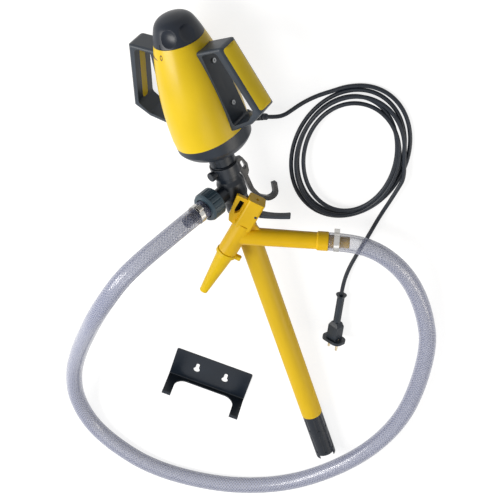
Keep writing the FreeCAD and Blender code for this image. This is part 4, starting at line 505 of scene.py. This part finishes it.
def print_scale(finish):
    """Lays the zero and the wedge over the casing's colour, by turn and height."""
    tree = finish.node_tree
    shader = tree.nodes["Principled BSDF"]
    where = tree.nodes.new("ShaderNodeTexCoord")
    axes = []
    for row in PUMP_LAID.inverted()[:3]:
        reach = tree.nodes.new("ShaderNodeVectorMath")
        reach.operation = "DOT_PRODUCT"
        reach.inputs[1].default_value = row[:3]
        feed(tree, reach.inputs[0], where.outputs["Object"])
        axes.append(math_node(tree, "ADD", reach.outputs["Value"], row[3]))
    turn = math_node(tree, "ARCTAN2", axes[1], axes[0])
    height = axes[2]

    aside = math_node(tree, "MULTIPLY", math_node(tree, "SUBTRACT", turn, ZERO_TURN), CASING_R / ZERO_HALF[0])
    above = math_node(tree, "DIVIDE", math_node(tree, "SUBTRACT", height, ZERO_HEIGHT), ZERO_HALF[1])
    far = math_node(tree, "SQRT", math_node(tree, "ADD", math_node(tree, "MULTIPLY", aside, aside),
                                            math_node(tree, "MULTIPLY", above, above)))
    off_line = math_node(tree, "ABSOLUTE", math_node(tree, "SUBTRACT", far, ZERO_RING))
    zero = math_node(tree, "LESS_THAN", off_line, ZERO_LINE)

    gone = math_node(tree, "DIVIDE", math_node(tree, "SUBTRACT", WEDGE_POINT, turn), WEDGE_LONG)
    root = math_node(tree, "SQRT", math_node(tree, "MAXIMUM", gone, 0.0))
    over = math_node(tree, "SUBTRACT", height, WEDGE_HEIGHT)
    below_top = math_node(tree, "LESS_THAN", over, math_node(tree, "MULTIPLY", root, WEDGE_RISE))
    above_low = math_node(tree, "GREATER_THAN", over, math_node(tree, "MULTIPLY", gone, -WEDGE_FALL))
    within = math_node(tree, "MULTIPLY", math_node(tree, "GREATER_THAN", gone, 0.0),
                       math_node(tree, "LESS_THAN", gone, 1.0))
    wedge = math_node(tree, "MULTIPLY", within, math_node(tree, "MULTIPLY", below_top, above_low))

    plain = shader.inputs["Base Color"].links[0].from_socket
    printed = laid_over(tree, plain, PRINT_INK, math_node(tree, "MAXIMUM", zero, wedge))
    feed(tree, shader.inputs["Base Color"], printed)


casing_yellow = surface("casing_yellow", (0.84, 0.58, 0.006), 0.36, patch=0.06, mottle=0.05, grain=0.0011,
                        relief=0.035, edge_wear_and_highlight=0.10, edge=0.0008, coat=0.06, shine=0.32)
print_scale(casing_yellow)
dress(["motor_housing"], casing_yellow)


# Base under the motor. A black bowl with the spigot of the pump joint and the
# entry of the mains lead, moulded in a satin plastic.
satin_black = surface("satin_black", (0.012, 0.019, 0.031), 0.38, patch=0.04, mottle=0.16, grain=0.0009,
                      relief=0.07, edge_wear_and_highlight=0.4, edge=0.001, shine=0.35)
dress(["base_cover"], satin_black)


# Speed dial. A domed black knob, moulded hollow, with two pairs of finger dimples and
# a notch in its rim that points at the scale. It turns on a spindle in the casing's top.
DIAL_FOOT = 0.2024
DIAL_RIM = 0.0450
DIAL_LEAN = math.radians(15)
DIAL_ARCS = ((0.0360, 0.0265, 8), (0.0220, 0.0400, 8), (0.0040, 0.0439, 4))   # end radius and height, steps
DIAL_SIDES = 144
DIAL_WALL = 0.016
DIAL_HOLLOW = 0.0159
DIAL_CREASE = math.radians(26)
FINGER_TURNS = (-72, -22, 108, 158)
FINGER_LEAN = math.radians(-19)
FINGER_HEIGHT = 0.0200
FINGER_SIZE = (0.0130, 0.0215, 0.0205)
FINGER_OUT = 0.0468
NOTCH_TURN = -98
NOTCH_LEAN = math.radians(-16)
NOTCH_SIZE = (0.0030, 0.0021, 0.0095)
NOTCH_OUT = 0.04407


def dial_outline():
    """The dial's radius and height from its rim to its top: three arcs, each of which
    goes on in the direction in which the last one ends."""
    points = [Vector((DIAL_RIM, 0.0))]
    way = Vector((-math.sin(DIAL_LEAN), math.cos(DIAL_LEAN)))
    for radius, height, steps in DIAL_ARCS:
        start = points[-1]
        chord = Vector((radius, height)) - start
        half_bend = math.atan2(way.cross(chord), way.dot(chord))
        for step in range(1, steps + 1):
            bend = half_bend * step / steps
            reach = chord.length * math.sin(bend) / math.sin(half_bend)
            points.append(start + Matrix.Rotation(bend, 2) @ way * reach)
        way = Matrix.Rotation(2 * half_bend, 2) @ way
    return points


def pick_alone(piece):
    """Selects one piece and makes it the active one."""
    bpy.ops.object.select_all(action="DESELECT")
    bpy.context.view_layer.objects.active = piece
    piece.select_set(True)


def lay_down(piece, laid):
    """Turns a piece that was made upright to where its part of the set lies."""
    pick_alone(piece)
    bpy.ops.object.transform_apply(location=True, rotation=True, scale=True)
    piece.matrix_world = laid
    bpy.ops.object.transform_apply(location=True, rotation=True, scale=True)


def cut_away(piece, cutter):
    """Takes one piece's shape out of another and throws the first away."""
    taken = piece.modifiers.new("cut", "BOOLEAN")
    taken.operation = "DIFFERENCE"
    taken.solver = "EXACT"
    taken.object = cutter
    bpy.context.view_layer.objects.active = piece
    bpy.ops.object.modifier_apply(modifier="cut")
    bpy.data.objects.remove(cutter)


bpy.ops.mesh.primitive_circle_add(vertices=DIAL_SIDES, radius=DIAL_RIM, location=(0, 0, DIAL_FOOT))
knob = bpy.context.active_object
knob.name = "dial_knob"
pick_alone(knob)
bpy.ops.object.mode_set(mode="EDIT")
bpy.ops.mesh.select_all(action="SELECT")
outline = dial_outline()
for here, there in zip(outline, outline[1:]):
    drawn_in = there.x / here.x
    bpy.ops.mesh.extrude_region_move(TRANSFORM_OT_translate={"value": (0, 0, there.y - here.y)})
    bpy.ops.transform.resize(value=(drawn_in, drawn_in, 1), center_override=(0, 0, DIAL_FOOT + there.y))
bpy.ops.mesh.edge_face_add()
bpy.ops.mesh.select_all(action="DESELECT")
bpy.ops.mesh.select_non_manifold()
bpy.ops.mesh.edge_face_add()
bpy.ops.mesh.inset(thickness=DIAL_WALL)
bpy.ops.mesh.extrude_region_move(TRANSFORM_OT_translate={"value": (0, 0, DIAL_HOLLOW)})
bpy.ops.mesh.select_all(action="SELECT")
bpy.ops.mesh.normals_make_consistent(inside=False)
bpy.ops.object.mode_set(mode="OBJECT")
for finger_turn in FINGER_TURNS:
    towards = math.radians(finger_turn)
    bpy.ops.mesh.primitive_uv_sphere_add(
        segments=72, ring_count=48, radius=1.0, rotation=(0, FINGER_LEAN, towards), scale=FINGER_SIZE,
        location=(FINGER_OUT * math.cos(towards), FINGER_OUT * math.sin(towards), DIAL_FOOT + FINGER_HEIGHT))
    cut_away(knob, bpy.context.active_object)
towards = math.radians(NOTCH_TURN)
bpy.ops.mesh.primitive_cube_add(
    size=1.0, rotation=(0, NOTCH_LEAN, towards), scale=NOTCH_SIZE,
    location=(NOTCH_OUT * math.cos(towards), NOTCH_OUT * math.sin(towards), DIAL_FOOT + NOTCH_SIZE[2] / 2))
cut_away(knob, bpy.context.active_object)
lay_down(knob, PUMP_LAID)
bpy.ops.object.shade_smooth_by_angle(angle=DIAL_CREASE)
dial_black = surface("dial_black", (0.005, 0.010, 0.021), 0.36, patch=0.05, mottle=0.18, grain=0.0008,
                     relief=0.06, edge_wear_and_highlight=0.25, edge=0.0012, shine=0.35)
knob.data.materials.append(dial_black)
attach(knob, "dial")
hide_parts("speed_dial")
dress(["dial_spindle"], tail_black)


# Side handles. Moulded black loops, screwed to the casing by two screws each, with a
# yellow insert let into the outer face of the grip.
handle_black = surface("handle_black", (0.024, 0.034, 0.049), 0.38, patch=0.05, mottle=0.16, grain=0.0009,
                       relief=0.07, edge_wear_and_highlight=0.5, edge=0.0012, shine=0.42)
dress(["handle_left", "handle_right"], handle_black)
insert_yellow = surface("insert_yellow", (0.86, 0.62, 0.014), 0.42, patch=0.05, mottle=0.06, edge_wear_and_highlight=0.15,
                        edge=0.001, shine=0.35)
dress(["grip_insert_left", "grip_insert_right"], insert_yellow)
screw_steel = surface("screw_steel", (0.30, 0.31, 0.32), 0.30, metal=1.0, patch=0.003, grain=0.0006,
                      relief=0.03)
dress(["handle_screws"], screw_steel)


# Joint between motor and pump. A turning collar with grip pads locks the motor on
# the pump head, and the clamp ring below it carries the hook and its thumb screw.
collar_black = surface("collar_black", (0.007, 0.012, 0.020), 0.36, patch=0.02, edge_wear_and_highlight=0.35, edge=0.0006,
                       shine=0.36)
dress(["coupling_collar", "outlet_body", "clamp_screw"], collar_black)
hook_black = surface("hook_black", (0.010, 0.015, 0.024), 0.34, patch=0.02, mottle=0.2, edge_wear_and_highlight=0.45,
                     edge=0.0012, shine=0.4)
dress(["hook_clamp"], hook_black)


# Union nut. A blue-grey plastic moulding with ribs all round for the hand, which
# screws the hose tail to the pump's outlet.
nut_grey = surface("nut_grey", (0.036, 0.066, 0.090), 0.34, patch=0.02, edge_wear_and_highlight=0.6, edge=0.0006, shine=0.4)
dress(["union_nut"], nut_grey)


# Immersion tube and foot. A dull yellow plastic tube, cut to the immersion length and
# seated in the pump head, with a black moulded foot in two parts on its end.
tube_yellow = surface("tube_yellow", (0.80, 0.52, 0.012), 0.48, patch=0.05, mottle=0.08, grain=0.0014,
                      relief=0.05, stretch=(1, 0.2, 1), shine=0.3)
dress(["outer_tube"], tube_yellow)
foot_black = surface("foot_black", (0.006, 0.010, 0.018), 0.32, patch=0.02, edge_wear_and_highlight=0.4, edge=0.0008,
                     shine=0.35)
dress(["foot_collar", "suction_foot"], foot_black)


# Dispensing nozzle. Yellow mouldings with a black lever on a pin, a steel valve
# spring and a turning ring at the spout. It hangs by its eye on the pump's hook.
nozzle_yellow = surface("nozzle_yellow", (0.88, 0.54, 0.004), 0.40, patch=0.04, mottle=0.07, grain=0.0012,
                        relief=0.05, edge_wear_and_highlight=0.15, edge=0.0008, shine=0.28)
dress(["nozzle_body"], nozzle_yellow)
spout_yellow = surface("spout_yellow", (0.90, 0.60, 0.004), 0.38, patch=0.04, mottle=0.07, edge_wear_and_highlight=0.12,
                       edge=0.0008, shine=0.28)
dress(["spout", "spout_ring"], spout_yellow)
lever_black = surface("lever_black", (0.013, 0.020, 0.031), 0.38, patch=0.02, edge_wear_and_highlight=0.4, edge=0.0012,
                      shine=0.4)
# The lever pin takes the lever's black as painted shade, so that the hole it sits in looks dark.
dress(["nozzle_lever", "lever_pin"], lever_black)
dress(["valve_spring"], screw_steel)


# Wall bracket. Bent steel sheet, powder-coated in dark blue-grey, with two keyholes
# for wall screws. It lies loose beside the pump.
bracket_paint = surface("bracket_paint", (0.008, 0.013, 0.022), 0.34, patch=0.05, mottle=0.12, grain=0.0018,
                        relief=0.10, edge_wear_and_highlight=0.6, edge=0.0008, shine=0.36)
dress(["wall_bracket"], bracket_paint)


# Works inside the motor and the pump. Bare steel and aluminium, wound copper, carbon,
# brass and moulded plastic, all hidden by the casing, the base, the head and the tube.
bare_steel = surface("bare_steel", (0.52, 0.53, 0.55), 0.30, metal=1.0, patch=0.01)
dress(["rotor_shaft", "drive_shaft", "upper_bearing", "lower_bearing", "valve_stem"], bare_steel)
cast_aluminium = surface("cast_aluminium", (0.66, 0.67, 0.69), 0.42, metal=1.0, patch=0.012, relief=0.12)
dress(["motor_frame"], cast_aluminium)
core_iron = surface("core_iron", (0.20, 0.21, 0.23), 0.45, metal=1.0, patch=0.01, relief=0.1)
dress(["stator_core", "armature"], core_iron)
winding_copper = surface("winding_copper", (0.72, 0.33, 0.14), 0.32, metal=1.0, patch=0.004, relief=0.2)
dress(["field_windings", "commutator"], winding_copper)
brush_carbon = surface("brush_carbon", (0.030, 0.030, 0.032), 0.55, patch=0.003, relief=0.15)
dress(["carbon_brushes"], brush_carbon)
holder_brass = surface("holder_brass", (0.66, 0.48, 0.20), 0.34, metal=1.0, patch=0.006)
dress(["brush_holders"], holder_brass)
works_plastic = surface("works_plastic", (0.10, 0.10, 0.11), 0.45, patch=0.01)
dress(["cooling_fan", "motor_coupling", "pump_coupling"], works_plastic)
dress(["impeller", "shaft_tube", "shaft_bushes"], works_plastic)
seal_rubber = surface("seal_rubber", (0.015, 0.015, 0.016), 0.6, patch=0.005)
dress(["shaft_seal", "outlet_gasket"], seal_rubber)
board_green = surface("board_green", (0.02, 0.14, 0.05), 0.40, patch=0.006)
dress(["control_board"], board_green)
